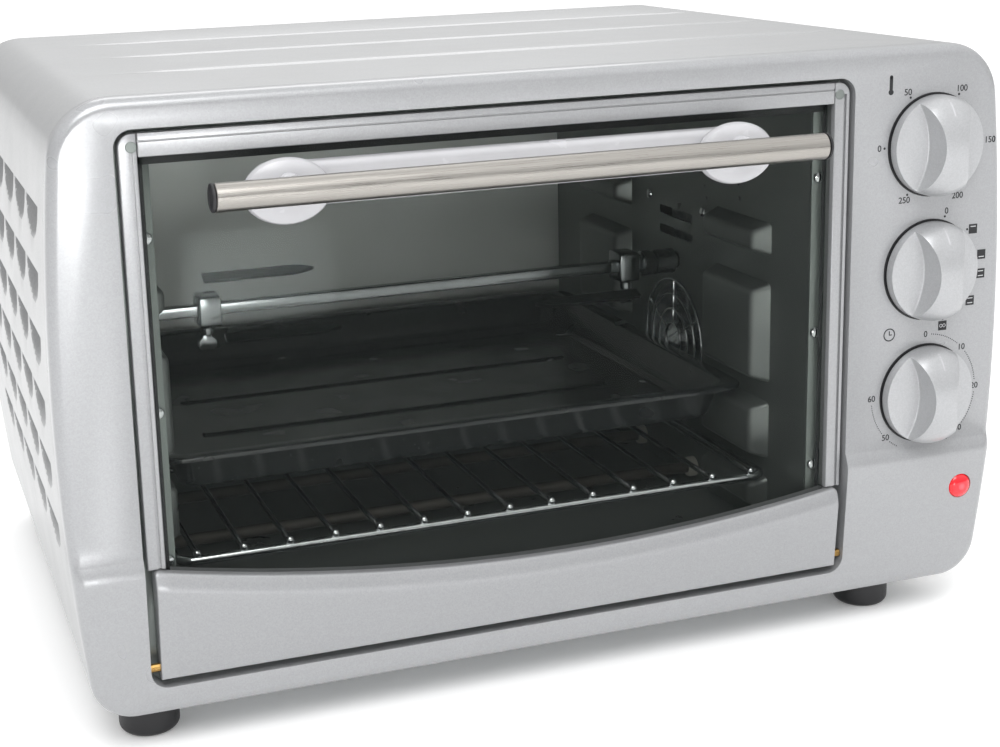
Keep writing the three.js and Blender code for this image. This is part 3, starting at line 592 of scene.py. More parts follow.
def right_side(levels, steps=12):
    """The outline's right half, from the top's flat to the bottom's flat."""
    top = corner(TOP_CORNER, BODY_TOP, 1, steps)
    bottom = corner(BOTTOM_CORNER, BODY_BOTTOM, -1, steps)
    side = [(half_width(z), z) for z in sorted(levels, reverse=True)
            if bottom[-1][1] + 1 < z < top[-1][1] - 1]
    return top + side + bottom[::-1]


def body_outline(levels=range(40, 280, 16)):
    """The whole outline, clockwise from the top's right."""
    half = right_side(levels)
    return half + [(-x, z) for x, z in reversed(half)]


print("outline has", len(body_outline()), "points")

# %% [markdown]
# ## The smile
# A crease runs right across the front in one smiling arc. Under it the surface swells 3 mm
# forward to a soft ridge, and from there it leans back to the bottom edge, so the chin is in
# its own shade. The mesh is sheared so that the arc becomes a level line, sliced along level
# planes, and sheared back. Then each point is pushed out by its distance from the crease.

# %% Crease helper
BEVEL_RUN = 8.5
BEVEL_STEPS = 7
CHIN_SET_BACK = 1.5


def sag(x):
    """How much higher the crease is at x than at the middle, in millimetres."""
    return x * x / (2 * CREASE_RADIUS)


def swell(x, z):
    """How far the surface stands before the face at a place on the front."""
    below = TRIM_CREASE + sag(x) - z
    if below <= 0:
        return 0.0
    if below < BEVEL_RUN:
        return TRIM_PROUD * (1 - (1 - below / BEVEL_RUN) ** 1.7)
    ridge = TRIM_CREASE + sag(x) - BEVEL_RUN
    drop = min((ridge - z) / (ridge - BODY_BOTTOM), 1)
    return TRIM_PROUD - (TRIM_PROUD + CHIN_SET_BACK) * drop


def smile(bm, front, deep=7.0):
    """Slices a mesh along the crease and its bevel, then swells what lies under the crease."""
    for vert in bm.verts:
        vert.co.z -= sag(vert.co.x / MM) * MM
    levels = [TRIM_CREASE - BEVEL_RUN * i / BEVEL_STEPS for i in range(BEVEL_STEPS + 1)]
    levels += [TRIM_CREASE - BEVEL_RUN * 1.25, TRIM_CREASE - BEVEL_RUN * 2]
    for level in levels:
        geometry = list(bm.verts) + list(bm.edges) + list(bm.faces)
        bmesh.ops.bisect_plane(bm, geom=geometry, dist=1e-7, plane_co=(0, 0, level * MM),
                               plane_no=(0, 0, 1))
    for vert in bm.verts:
        vert.co.z += sag(vert.co.x / MM) * MM
        back = (vert.co.y / MM - front) / deep
        push = swell(vert.co.x / MM, vert.co.z / MM) * min(max(1 - back, 0), 1)
        vert.co.y -= push * MM


# %% [markdown]
# ## Steel shell
# One sheet is folded over both sides and the top. Each side is pressed with five columns
# of six louvres: a straight slit on top and a half-moon scoop below it. The top has three
# long shallow swages that stiffen it. The sheet is extruded along Y through every level
# where a louvre or swage needs a line, then pressed in by moving vertices.

# %% Shell
LOUVRE_TOPS = [246 - 28.5 * i for i in range(6)]
LOUVRE_COLUMNS = [FACE + 52 + 49.5 * i for i in range(5)]
LOUVRE_LENGTH = 43.0
LOUVRE_HEIGHT = 16.0
LOUVRE_DEPTH = 4.2
SLIT = 0.4
SWAGES = [FACE + y for y in (100, 185, 270)]
SWAGE_LEFT, SWAGE_RIGHT = -175.0, 205.0
SWAGE_HALF, SWAGE_DEPTH = 6.0, 1.6


def louvre_depth(along, down):
    """How deep a louvre is: along runs -1 to 1 front to rear, down runs 0 to 1."""
    if abs(along) >= 1 or down < 0:
        return 0.0
    edge = sqrt(1 - along * along) if along < 0 else (1 - along) ** 0.62 * (1 + along) ** 0.25
    if down >= edge:
        return 0.0
    return LOUVRE_DEPTH * min(edge * 1.25, 1) * sin(pi / 2 * (1 - down / edge) ** 0.8)


def swage_depth(x, y):
    """How deep the top's swages are at a place."""
    ends = min(x - SWAGE_LEFT, SWAGE_RIGHT - x) / 30
    if ends <= 0:
        return 0.0
    half = SWAGE_HALF * min(ends, 1)
    near = min(abs(y - centre) for centre in SWAGES)
    return SWAGE_DEPTH * min(ends, 1) * (0.5 + 0.5 * cos(pi * near / half)) if near < half else 0.0


def shell_levels():
    levels = []
    for top in LOUVRE_TOPS:
        levels += [top + 1.5, top, top - SLIT]
        levels += [top - SLIT - (LOUVRE_HEIGHT - SLIT) * i / 9 for i in range(1, 10)]
    return levels + [262, 70, 55, 42]


def shell_stations():
    stations = {WRAP_LOW.y, WRAP_HIGH.y}
    for centre in LOUVRE_COLUMNS:
        stations |= {round(centre + LOUVRE_LENGTH / 2 * cos(pi * i / 16), 3) for i in range(17)}
    for centre in SWAGES:
        stations |= {round(centre + SWAGE_HALF * i / 4, 3) for i in range(-4, 5)}
    kept = []
    for y in sorted(stations):
        if not kept or y - kept[-1] > 0.35:
            kept.append(y)
    return kept


def make_shell():
    bm = bmesh.new()
    half = right_side(shell_levels())
    top_run = [(SWAGE_LEFT + (SWAGE_RIGHT - SWAGE_LEFT) * i / 24, BODY_TOP) for i in range(25)]
    flat_end = half[0][0]
    top_run = [p for p in top_run if abs(p[0]) < flat_end - 1]
    profile = [(-x, z) for x, z in reversed(half)] + top_run + half
    stations = shell_stations()
    verts = chain(bm, [(x, stations[0], z) for x, z in profile], closed=False)
    edges = list({e for v in verts for e in v.link_edges})
    for before, after in zip(stations, stations[1:]):
        grown = bmesh.ops.extrude_edge_only(bm, edges=edges)["geom"]
        verts = [g for g in grown if isinstance(g, bmesh.types.BMVert)]
        edges = [g for g in grown if isinstance(g, bmesh.types.BMEdge)
                 and all(v in set(verts) for v in g.verts)]
        bmesh.ops.translate(bm, vec=(0, (after - before) * MM, 0), verts=verts)
    for vert in bm.verts:
        x, y, z = vert.co / MM
        if z > BODY_TOP - 0.01:
            vert.co.z -= swage_depth(x, y) * MM
            continue
        for top in LOUVRE_TOPS:
            if not top - LOUVRE_HEIGHT <= z <= top - SLIT + 0.05:
                continue
            down = (top - SLIT - z) / (LOUVRE_HEIGHT - SLIT)
            for centre in LOUVRE_COLUMNS:
                along = (y - centre) / (LOUVRE_LENGTH / 2)
                vert.co.x -= louvre_depth(along, max(down, 0)) * MM * (1 if x > 0 else -1)
    bmesh.ops.recalc_face_normals(bm, faces=bm.faces)
    if sum(f.normal.z for f in bm.faces if abs(f.normal.z) > 0.9) < 0:
        bmesh.ops.reverse_faces(bm, faces=bm.faces)
    # Faces set in from the side's line below the louvres' top take the darker second paint as painted
    # shade. These are the louvre hollows and the rounded bottom edges.
    for face in bm.faces:
        place = face.calc_center_median() / MM
        if abs(place.x) < half_width(place.z) - 0.25 and place.z < LOUVRE_TOPS[0] + 2:
            face.material_index = 1
    bmesh.ops.solidify(bm, geom=bm.faces, thickness=SHEET * MM)
    piece = finished("steel_shell", bm, WRAP_PAINT, "oven_body", "body_paint", "outer_wrap",
                     sharp=radians(38))
    piece.data.materials.append(LOUVRE_PAINTED_SHADE)
    return piece


make_shell()

# %% [markdown]
# ## Front moulding
# The whole front is one silver moulding with a 5 mm round on its outer edge. The door's
# opening, the lamp's hole and the knobs' holes go right through it. The opening's edge is
# rounded over, so it catches a thin line of light beside the dark gap round the door.

# %% Front moulding
KNOB_X = middle_mm("temperature_knob").x
KNOBS = {name: middle_mm(name + "_knob") for name in ("temperature", "function", "timer")}
LAMP = middle_mm("pilot_lamp_lens")
LAMP_RADIUS = 6.2


def through(bm, x, z, radius, segments=40):
    rod(bm, (x, FACE - 20, z), (x, FACE + 40, z), radius, segments, 0.0)


def opening(bm, grow, front, back):
    outline = rounded(APERTURE_LEFT - grow, APERTURE_RIGHT + grow, APERTURE_BOTTOM - grow,
                      APERTURE_TOP + grow, DOOR_CORNER + DOOR_GAP + grow, 8)
    slab(bm, outline, front, back)


def make_front():
    bm = bmesh.new()
    slab(bm, body_outline(), FACE, BEZEL_BACK, rounding=5.0, segments=6)
    smile(bm, FACE)
    carve(
        bm,
        lambda tool: opening(tool, 0, FACE - 20, FACE + 40),
        lambda tool: block(tool, (158, FACE + 3, 40), (222, FACE + 40, 275), 0),
        *[lambda tool, z=place.z: through(tool, KNOB_X, z, 3.6) for place in KNOBS.values()],
        lambda tool: through(tool, LAMP.x, LAMP.z, LAMP_RADIUS + 0.25),
    )
    near_opening = lambda e: all(
        APERTURE_LEFT - 4 < v.co.x / MM < APERTURE_RIGHT + 4 and v.co.y / MM < FACE + 2.5 for v in e.verts)
    soften(bm, 1.5, angle=60, segments=4, keep=near_opening)
    return finished("front_moulding", bm, FRONT_PAINT, "oven_body", "bezel_plastic", "front_bezel")


make_front()

# %% [markdown]
# ## Rear panel and feet
# The rear panel is a flat sheet of the same paint, with vent slots behind the motors and a
# hole for the cable gland. The feet are turned in black plastic with a small chamfer.


# %% Rear panel and feet
def make_rear():
    low, high = box_mm("rear_panel")
    gland = middle_mm("cable_gland")
    bm = bmesh.new()
    slab(bm, body_outline(), low.y, high.y)
    outside, inside = high.y + 5, low.y - 5
    slots = [lambda tool, z=215 - 12 * row: slab(tool, rounded(150, 210, z, z + 5, 2.4, 4), inside, outside)
             for row in range(6)]
    hole = lambda tool: rod(tool, (gland.x, inside, gland.z), (gland.x, outside, gland.z), 6.3, 24, 0.0)
    carve(bm, hole, *slots)
    return finished("rear_sheet", bm, WRAP_PAINT, "oven_body", "body_paint", "rear_panel")


def make_foot(node):
    low, high = box_mm(node)
    centre = (low + high) / 2
    radius = (high.x - low.x) / 2
    bm = bmesh.new()
    soft = 4.0
    round_edge = [(radius - soft + soft * sin(radians(a)), soft - soft * cos(radians(a)))
                  for a in range(0, 91, 15)]
    profile = [(0, 0), *round_edge, (radius, high.z - 6),
               (radius, high.z - 3), (radius - 1.5, high.z - 2.4), (radius - 1.5, high.z), (0, high.z)]
    lathe(bm, profile, (centre.x, centre.y, 0), (0, 0, 1), 48)
    return finished(node + "_pad", bm, BLACK_PLASTIC, "oven_body", "black_plastic", node)


make_rear()
FEET = [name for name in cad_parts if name.startswith("foot_")]
for foot in sorted(FEET):
    make_foot(foot)

# %% [markdown]
# ## Door
# Toughened glass sits in two slim silver stiles, a top rail and the smiling lower trim. The
# trim starts as a grid whose rows follow the crease, so every face stays a clean quad, and
# gets the same bevel and lean as the front. The stiles carry a fine groove each, and a flat
# round rivet holds each upper corner.


# %% Lower trim
def crease(x):
    return TRIM_CREASE + sag(x)


def make_trim():
    bm = bmesh.new()
    columns, rows = 48, 6
    made = bmesh.ops.create_grid(bm, x_segments=columns, y_segments=rows, size=0.5)["verts"]
    for vert in made:
        x = TRIM_LOW.x + (TRIM_HIGH.x - TRIM_LOW.x) * (vert.co.x + 0.5)
        z = TRIM_LOW.z + (crease(x) - TRIM_LOW.z) * (vert.co.y + 0.5)
        vert.co = Vector((x, TRIM_HIGH.y, z)) * MM
    grown = bmesh.ops.extrude_face_region(bm, geom=list(bm.faces))["geom"]
    moved = {g for g in grown if isinstance(g, bmesh.types.BMVert)}
    bmesh.ops.translate(bm, vec=(0, (FACE - TRIM_HIGH.y) * MM, 0), verts=list(moved))
    bmesh.ops.recalc_face_normals(bm, faces=bm.faces)
    corners = [e for e in bm.edges if all(v.co.z > (crease(v.co.x / MM) - 0.01) * MM for v in e.verts)
               and abs((e.verts[0].co - e.verts[1].co).y) > 1 * MM
               and min(e.verts[0].co.x / MM - TRIM_LOW.x, TRIM_HIGH.x - e.verts[0].co.x / MM) < 0.01]
    bmesh.ops.bevel(bm, geom=corners, offset=2.2 * MM, segments=4, profile=0.5, affect="EDGES",
                    clamp_overlap=True, material=-1)
    rim = [e for e in bm.edges if len(e.link_faces) == 2 and e.calc_face_angle(0) > radians(40)
           and all(abs(v.co.y - FACE * MM) < 1e-7 for v in e.verts)]
    bmesh.ops.bevel(bm, geom=rim, offset=0.9 * MM, segments=3, profile=0.5, affect="EDGES",
                    clamp_overlap=True, material=-1)
    smile(bm, FACE, 8.0)
    pocket = lambda tool: block(tool, (GLASS_LOW.x - 0.3, GLASS_LOW.y - 0.3, GLASS_LOW.z - 0.3),
                                (GLASS_HIGH.x + 0.3, GLASS_HIGH.y + 0.3, 130), 0)
    bores = [lambda tool, pin=middle_mm(node): rod(tool,
                                                   (pin.x - 9, pin.y, pin.z), (pin.x + 9, pin.y, pin.z),
                                                   2.3, 20, 0.0)
             for node in ("hinge_pin_left", "hinge_pin_right")]
    carve(bm, pocket, *bores)
    return finished("smiling_trim", bm, TRIM_PAINT, "door", "trim_plastic", "door_lower_trim")


# %% Stiles, rail and pane
GROOVE_WIDTH = 1.5
RIVET_INSET = 5.6


def make_stile(node, outwards, groove_x):
    low, high = box_mm(node)
    outer, inner = (low.x, high.x) if outwards < 0 else (high.x, low.x)
    bottom = crease((low.x + high.x) / 2) + 0.4
    centre = (outer - outwards * DOOR_CORNER, high.z - DOOR_CORNER)
    sweep_from, sweep_to = (0, 90) if outwards > 0 else (180, 90)
    outline = [(inner, bottom), (outer, bottom)] + arc(centre, DOOR_CORNER, sweep_from, sweep_to, 8)
    bm = bmesh.new()
    slab(bm, outline + [(inner, high.z)], low.y, high.y, 0.6, 3)
    half = GROOVE_WIDTH / 2
    carve(bm, lambda tool: block(tool, (groove_x - half, low.y - 2, 60),
                                 (groove_x + half, low.y + 1.4, high.z - RIVET_INSET), 0))
    return finished(node + "_extrusion", bm, TRIM_PAINT, "door", "trim_plastic", node)


def make_rail():
    low, high = box_mm("door_top_rail")
    bm = bmesh.new()
    block(bm, low, high, 0.5, 3)
    line = low.z + (high.z - low.z) * 0.62
    carve(bm, lambda tool: block(
        tool, (low.x - 1, low.y - 2, line), (high.x + 1, low.y + 0.9, line + 0.9), 0))
    return finished("top_rail_extrusion", bm, TRIM_PAINT, "door", "trim_plastic", "door_top_rail")


def make_rivets():
    front = box_mm("door_top_rail")[0].y
    head = [(0, 0), (2.4, 0), (2.4, 0.25), (2.1, 0.5), (0, 0.55)]
    bm = bmesh.new()
    for x in (DOOR_LEFT + RIVET_INSET, DOOR_RIGHT - RIVET_INSET):
        lathe(bm, head, (x, front + 0.05, DOOR_TOP - RIVET_INSET), (0, -1, 0), 32)
    return finished("corner_rivets", bm, FLANGE_STEEL, "door", "trim_plastic")


def make_pane():
    bm = bmesh.new()
    block(bm, GLASS_LOW, GLASS_HIGH, 0.5, 2)
    return finished("door_pane", bm, GLASS, "door", "glass", "door_glass")


def make_pane_shade_band():
    """A black band on the pane's back, along its top and sides: painted shade for the shadowed reveal under
    the frame.
    """
    back = GLASS_HIGH.y + 0.05
    top = GLASS_HIGH.z - 0.5
    bm = bmesh.new()
    block(bm, (GLASS_LOW.x + 0.5, back, top - 3.2), (GLASS_HIGH.x - 0.5, back + 0.15, top), 0)
    for x in (GLASS_LOW.x + 0.5, GLASS_HIGH.x - 2.3):
        block(bm, (x, back, GLASS_LOW.z + 20), (x + 1.8, back + 0.15, top), 0)
    return finished("pane_painted_shade_band", bm, INK, "door", "black_plastic")


make_trim()
make_stile("door_left_stile", -1, DOOR_LEFT + 5.4)
make_stile("door_right_stile", 1, DOOR_RIGHT - 2.6)
make_rail()
make_rivets()
make_pane()
make_pane_shade_band()

# %% [markdown]
# ## Handle
# A brushed steel tube crosses the door, held off it by two oval discs on a glossy bar.
# Each disc is turned as a circle, then stretched to an oval. The tube's ends are dark.


# %% Handle
def make_tube():
    low, high = box_mm("handle_tube")
    centre = (low + high) / 2
    radius = (high.z - low.z) / 2
    length = high.x - low.x
    bm = bmesh.new()
    profile = [(0, 0), (radius - 1.2, 0), (radius - 0.3, 0.15), (radius, 0.5), (radius, length - 0.5),
               (radius - 0.3, length - 0.15), (radius - 1.2, length), (0, length)]
    lathe(bm, profile, (low.x, centre.y, centre.z), (1, 0, 0), 64)
    return finished("brushed_tube", bm, HANDLE_STEEL, "door", "brushed_steel", "handle_tube")


def make_cap(node, outwards):
    low, high = box_mm(node)
    centre = (low + high) / 2
    radius = (high.z - low.z) / 2
    start = low.x if outwards > 0 else high.x
    bm = bmesh.new()
    length = high.x - low.x
    profile = [(0, 0), (radius - 0.1, 0), (radius, 0.1), (radius, length - 0.5),
               (radius - 0.2, length - 0.2),
               (radius - 0.7, length), (radius - 1.4, length), (radius - 1.6, length - 0.3),
               (0, length - 0.3)]
    lathe(bm, profile, (start, centre.y, centre.z), (outwards, 0, 0), 48)
    return finished(node + "_plug", bm, BLACK_PLASTIC, "door", "black_plastic", node)


def make_bar():
    low, high = box_mm("handle_back_bar")
    tube = middle_mm("handle_tube")
    bar_front, bar_back = FACE - 8, FACE
    centre_x = (low.x + high.x) / 2
    disc_x = [low.x + 19.2, high.x - 19.2]
    disc_z = (low.z + high.z) / 2
    bm = bmesh.new()
    slab(bm, rounded(low.x + 6.5, high.x - 6.5, 243, 262, 7, 8), bar_front, bar_back, 3.0, 5)
    for x in disc_x:
        dome = [(0, 0), (17, 0), (18.4, 0.6), (19.2, 2.0), (19.2, 3.6),
                (18.2, 5.4), (15.5, 6.7), (11, 7.5), (0, 7.9)]
        made = lathe(bm, dome, (0, 0, 0), (0, -1, 0), 64)
        bmesh.ops.scale(bm, vec=(1, 1, 14.2 / 19.2), verts=made)
        bmesh.ops.translate(bm, vec=Vector((x, bar_front, disc_z)) * MM, verts=made)
        rod(bm, (x, bar_front + 1, disc_z), (x, high.y, disc_z), 9, 32, 0.1)
        rod(bm, (x, tube.y + 5.2, tube.z), (x, bar_front, tube.z), 5.5, 32, 0.0)
    return finished("handle_mount", bm, BAR_PLASTIC, "door", "bar_plastic", "handle_back_bar")


make_tube()
make_cap("handle_left_cap", -1)
make_cap("handle_right_cap", 1)
make_bar()

# %% [markdown]
# ## Knobs
# Each knob is a turned dome with two broad scoops cut away, so a waisted grip bar is left
# standing across it. Its edges are softened, and a short raised line on the bar, paler than
# the knob as a painted highlight, points at the scale. A black ring under each knob is
# painted shadow for the gap round it.

# %% Knobs
KNOB_RADIUS = 24.5
KNOB_CREST = 20.0
KNOB_RIM = 5.0
SCOOP_FLOOR = 5.5
SCOOP_RADIUS = 39.0
SCOOP_OFFSET = 45.2


def dome_height(radius):
    return KNOB_RIM + (KNOB_CREST - KNOB_RIM) * sqrt(max(1 - (radius / KNOB_RADIUS) ** 2, 0))


def make_knob(name, place):
    node = name + "_knob"
    base = box_mm(node)[1].y
    bm = bmesh.new()
    steps = 20
    curve = [(KNOB_RADIUS * cos(pi / 2 * i / steps), 0) for i in range(1, steps)]
    profile = [(0, 0), (KNOB_RADIUS - 0.6, 0), (KNOB_RADIUS, 0.6), (KNOB_RADIUS, KNOB_RIM - 0.2)]
    profile += [(r, dome_height(r)) for r, _ in curve] + [(0, KNOB_CREST)]
    lathe(bm, profile, (place.x, base, place.z), (0, -1, 0), 96)

    def scoop(tool, side):
        rod(tool, (place.x + side * SCOOP_OFFSET, base - 40, place.z),
            (place.x + side * SCOOP_OFFSET, base - SCOOP_FLOOR, place.z), SCOOP_RADIUS, 128, 0.02)

    carve(bm, lambda tool: scoop(tool, -1), lambda tool: scoop(tool, 1))
    bmesh.ops.remove_doubles(bm, verts=bm.verts, dist=5e-6)
    soften(bm, 0.7, angle=38, segments=3)
    knob = finished(node + "_cap", bm, KNOB_PAINT, name + "_control", "knob_plastic", node)
    return knob


# The pointer is a thin raised strip in the paler bar plastic: its lighter colour is a painted highlight on
# the line.
def make_highlight_pointer(name, place):
    base = box_mm(name + "_knob")[1].y
    bm = bmesh.new()
    spots = [15.5 + 7.2 * i / 6 for i in range(7)]
    line = [(place.x - 0.4, base - dome_height(r) - 0.02, place.z + r) for r in spots]
    verts = chain(bm, line, closed=False)
    edges = list({e for v in verts for e in v.link_edges})
    grown = bmesh.ops.extrude_edge_only(bm, edges=edges)["geom"]
    moved = [g for g in grown if isinstance(g, bmesh.types.BMVert)]
    bmesh.ops.translate(bm, vec=(0.8 * MM, 0, 0), verts=moved)
    bmesh.ops.recalc_face_normals(bm, faces=bm.faces)
    bmesh.ops.solidify(bm, geom=bm.faces, thickness=0.3 * MM)
    return finished(name + "_pointer", bm, BAR_PLASTIC, name + "_control", "bar_plastic")


# A thin black ring on the front round each knob: painted shadow for the gap under the knob.
def make_knob_shadow_rings():
    bm = bmesh.new()
    for place in KNOBS.values():
        profile = [(4.2, 0), (KNOB_RADIUS + 0.9, 0), (KNOB_RADIUS + 0.9, 0.25), (4.2, 0.25)]
        verts = chain(bm, [(r, 0, h) for r, h in profile])
        edges = list({e for v in verts for e in v.link_edges})
        bmesh.ops.spin(bm, geom=verts + edges, cent=(0, 0, 0), axis=(0, 0, 1), angle=2 * pi, steps=64,
                       use_merge=True, use_duplicate=False)
        ring = island(verts[:1])
        bmesh.ops.rotate(bm, cent=(0, 0, 0), matrix=Matrix.Rotation(radians(90), 3, "X"), verts=ring)
        bmesh.ops.translate(bm, vec=Vector((place.x, FACE - 0.02, place.z)) * MM, verts=ring)
    bmesh.ops.remove_doubles(bm, verts=bm.verts, dist=1e-6)
    bmesh.ops.recalc_face_normals(bm, faces=bm.faces)
    return finished("knob_painted_shadow_rings", bm, BLACK_PLASTIC, "oven_body", "black_plastic")


for knob_name, knob_place in KNOBS.items():
    make_knob(knob_name, knob_place)
    make_highlight_pointer(knob_name, knob_place)
make_knob_shadow_rings()

# %% [markdown]
# ## Dial print
# The scales are printed in black on the front. Numbers are text turned into mesh, and the
# marks are thin bars, dots and rings. Angles are clockwise from twelve o'clock.

# %% Dial print
INK_THICK = 0.12
LABEL_RADIUS = 30.0
DOT_RADIUS = 27.2
NUMBER_HEIGHT = 3.2


def clock(place, angle, radius):
    """A place round a knob, with its angle clockwise from twelve."""
    return place.x + radius * sin(radians(angle)), place.z + radius * cos(radians(angle))


def ink_dot(bm, x, z, radius, segments=16):
    made = bmesh.ops.create_cone(bm, cap_ends=True, segments=segments, radius1=radius * MM,
                                 radius2=radius * MM, depth=INK_THICK * MM)["verts"]
    bmesh.ops.rotate(bm, cent=(0, 0, 0), matrix=Matrix.Rotation(radians(90), 3, "X"), verts=made)
    bmesh.ops.translate(bm, vec=Vector((x, FACE, z)) * MM, verts=made)


def ink_bar(bm, x, z, width, height, angle=0.0):
    made = bmesh.ops.create_cube(bm, size=1.0)["verts"]
    bmesh.ops.scale(bm, vec=Vector((width, INK_THICK, height)) * MM, verts=made)
    bmesh.ops.rotate(bm, cent=(0, 0, 0), matrix=Matrix.Rotation(radians(angle), 3, "Y"), verts=made)
    bmesh.ops.translate(bm, vec=Vector((x, FACE, z)) * MM, verts=made)


def ink_ring(bm, x, z, radius, line, segments=32):
    for i in range(segments):
        turn = 360 * i / segments
        ink_bar(bm, x + radius * sin(radians(turn)), z + radius * cos(radians(turn)),
                2 * pi * radius / segments * 1.08, line, turn)


def ink_number(bm, text, x, z, height=NUMBER_HEIGHT):
    curve = bpy.data.curves.new("number", "FONT")
    curve.body = text
    curve.size = height * MM * 1.35
    curve.align_x = "CENTER"
    curve.align_y = "CENTER"
    curve.extrude = INK_THICK * MM / 2
    curve.offset = 0.00006
    written = bpy.data.objects.new("number", curve)
    bpy.context.scene.collection.objects.link(written)
    bpy.context.view_layer.update()
    mesh = bpy.data.meshes.new_from_object(written.evaluated_get(bpy.context.evaluated_depsgraph_get()))
    mesh.transform(Matrix.Translation(Vector((x, FACE, z)) * MM) @ Matrix.Rotation(radians(90), 4, "X"))
    bm.from_mesh(mesh)
    bpy.data.objects.remove(written)
    bpy.data.meshes.remove(mesh)


TEMPERATURES = {"0": -90, "50": -30, "100": 30, "150": 90, "200": 150, "250": 210}
MODES = [54, 81, 99, 126, 162]
MODE_OFF = 18
MINUTES = {str(10 * i): 45 * i for i in range(7)}


def temperature_scale(bm):
    place = KNOBS["temperature"]
    for text, angle in TEMPERATURES.items():
        sideways = abs(sin(radians(angle))) ** 3 * (len(text) - 1) * 1.3
        x, z = clock(place, angle, LABEL_RADIUS + sideways)
        ink_number(bm, text, x, z)
        ink_dot(bm, *clock(place, angle, DOT_RADIUS), 0.6)
    x, z = place.x - 24.6, place.z + 29.4
    ink_dot(bm, x, z - 2.6, 1.4)
    ink_bar(bm, x, z + 1.6, 1.8, 6.0)
    ink_dot(bm, x, z + 4.6, 0.9)


def mode_icons(bm):
    """An off mark, then one dark square for each mode with a pale element line or fan in it."""
    place = KNOBS["function"]
    ink_number(bm, "0", *clock(place, MODE_OFF, LABEL_RADIUS))
    ink_dot(bm, *clock(place, MODE_OFF, DOT_RADIUS), 0.6)
    for angle in MODES:
        x, z = clock(place, angle, LABEL_RADIUS + 1.0)
        ink_bar(bm, x, z, 4.8, 4.8)
        reach = 3.4 if angle < 150 else -3.4
        if angle < 150:
            ink_dot(bm, x - reach, z, 0.6)
        else:
            ink_dot(bm, x, z - reach, 0.6)


def mode_details(bm):
    """The pale lines inside the mode squares: upper element, lower element, both, or the fan."""
    place = KNOBS["function"]
    for number, angle in enumerate(MODES):
        x, z = clock(place, angle, LABEL_RADIUS + 1.0)
        if number in (0, 2, 3):
            ink_bar(bm, x, z + 1.2, 3.0, 0.45)
        if number in (1, 2, 3):
            ink_bar(bm, x, z - 1.2, 3.0, 0.45)
        if number == 4:
            for side in (-0.9, 0.9):
                ink_ring(bm, x + side, z, 0.75, 0.35, 12)
    for vert in bm.verts:
        vert.co.y -= INK_THICK * 0.6 * MM


def timer_scale(bm):
    place = KNOBS["timer"]
    for text, angle in MINUTES.items():
        ink_number(bm, text, *clock(place, angle, LABEL_RADIUS))
    for half in range(121):
        from_label = min(half % 20, 20 - half % 20)
        if from_label > 2:
            ink_dot(bm, *clock(place, 2.25 * half, LABEL_RADIUS), 0.3, 8)
    x, z = place.x - 21, place.z + 32
    ink_ring(bm, x, z, 3.0, 0.6)
    ink_bar(bm, x, z + 0.9, 0.55, 2.0)
    ink_bar(bm, x + 0.7, z - 0.1, 1.6, 0.5)


def make_print():
    bm = bmesh.new()
    temperature_scale(bm)
    mode_icons(bm)
    timer_scale(bm)
    return finished("dial_print", bm, INK, "oven_body", "black_plastic")


def make_details():
    bm = bmesh.new()
    mode_details(bm)
    return finished("mode_details", bm, BAR_PLASTIC, "oven_body", "bar_plastic")


make_print()
make_details()

# %% [markdown]
# ## Pilot lamp
# A domed red lens in a fine rim, lit while the oven heats. Its material glows from the middle.


# %% Pilot lamp
def make_lamp():
    low, high = box_mm("pilot_lamp_lens")
    bm = bmesh.new()
    tall = high.y - low.y
    dome = [(0, 0), (LAMP_RADIUS, 0), (LAMP_RADIUS, tall - 2.9)]
    dome += [(LAMP_RADIUS * cos(radians(a)), tall - 2.9 + 2.8 * sin(radians(a))) for a in range(10, 90, 10)]
    dome.append((0, tall - 0.1))
    lathe(bm, dome, (LAMP.x, high.y, LAMP.z), (0, -1, 0), 64)
    return finished("lamp_lens", bm, LENS, "oven_body", "red_lens", "pilot_lamp_lens")


make_lamp()

# %% [markdown]
# ## Cavity
# The cavity is a box of aluminised sheet behind a flange. Each side wall is pressed with
# pads whose gaps carry the rack and the tray. The right wall has two vent slots over the
# motor, the spit's drive hole, and the fan's domed ring guard.

# %% Cavity walls
PAD_ROWS = [(50, 68), (78, 109), (119, 172), (186, 203)]
PAD_COLUMNS = [(FACE + 48, FACE + 108), (FACE + 212, FACE + 272)]
PAD_DEPTH = 10.0


def pad(bm, x, inwards, y0, y1, z0, z1):
    """A pressed pad: a cube drawn in towards its face, with round edges."""
    made = bmesh.ops.create_cube(bm, size=1.0)["verts"]
    bmesh.ops.scale(bm, vec=Vector((PAD_DEPTH + 0.4, y1 - y0, z1 - z0)) * MM, verts=made)
    face = [v for v in made if v.co.x * inwards > 0]
    bmesh.ops.scale(bm, vec=(1, 1 - 7 / (y1 - y0), 1 - 7 / (z1 - z0)), verts=face)
    edges = [e for v in face for e in v.link_edges]
    result = bmesh.ops.bevel(bm, geom=list(set(edges)), offset=2.6 * MM, segments=4, profile=0.5,
                             affect="EDGES", clamp_overlap=True, material=-1)
    made = island(result["verts"][:1])
    centre = Vector((x + inwards * (PAD_DEPTH - 0.4) / 2, (y0 + y1) / 2, (z0 + z1) / 2))
    bmesh.ops.translate(bm, vec=centre * MM, verts=made)


def make_wall(node, inwards, *holes):
    low, high = box_mm(node)
    inner = CAVITY_LEFT if inwards > 0 else CAVITY_RIGHT
    x0, x1 = sorted((inner, inner - inwards * SHEET))
    bm = bmesh.new()
    block(bm, (x0, low.y, low.z), (x1, high.y, high.z), 0)
    if holes:
        carve(bm, *holes)
    for y0, y1 in PAD_COLUMNS:
        for z0, z1 in PAD_ROWS:
            pad(bm, inner, inwards, y0, y1, z0, z1)
    return finished(node + "_pressing", bm, CAVITY_STEEL, "oven_body", "cavity_steel", node)


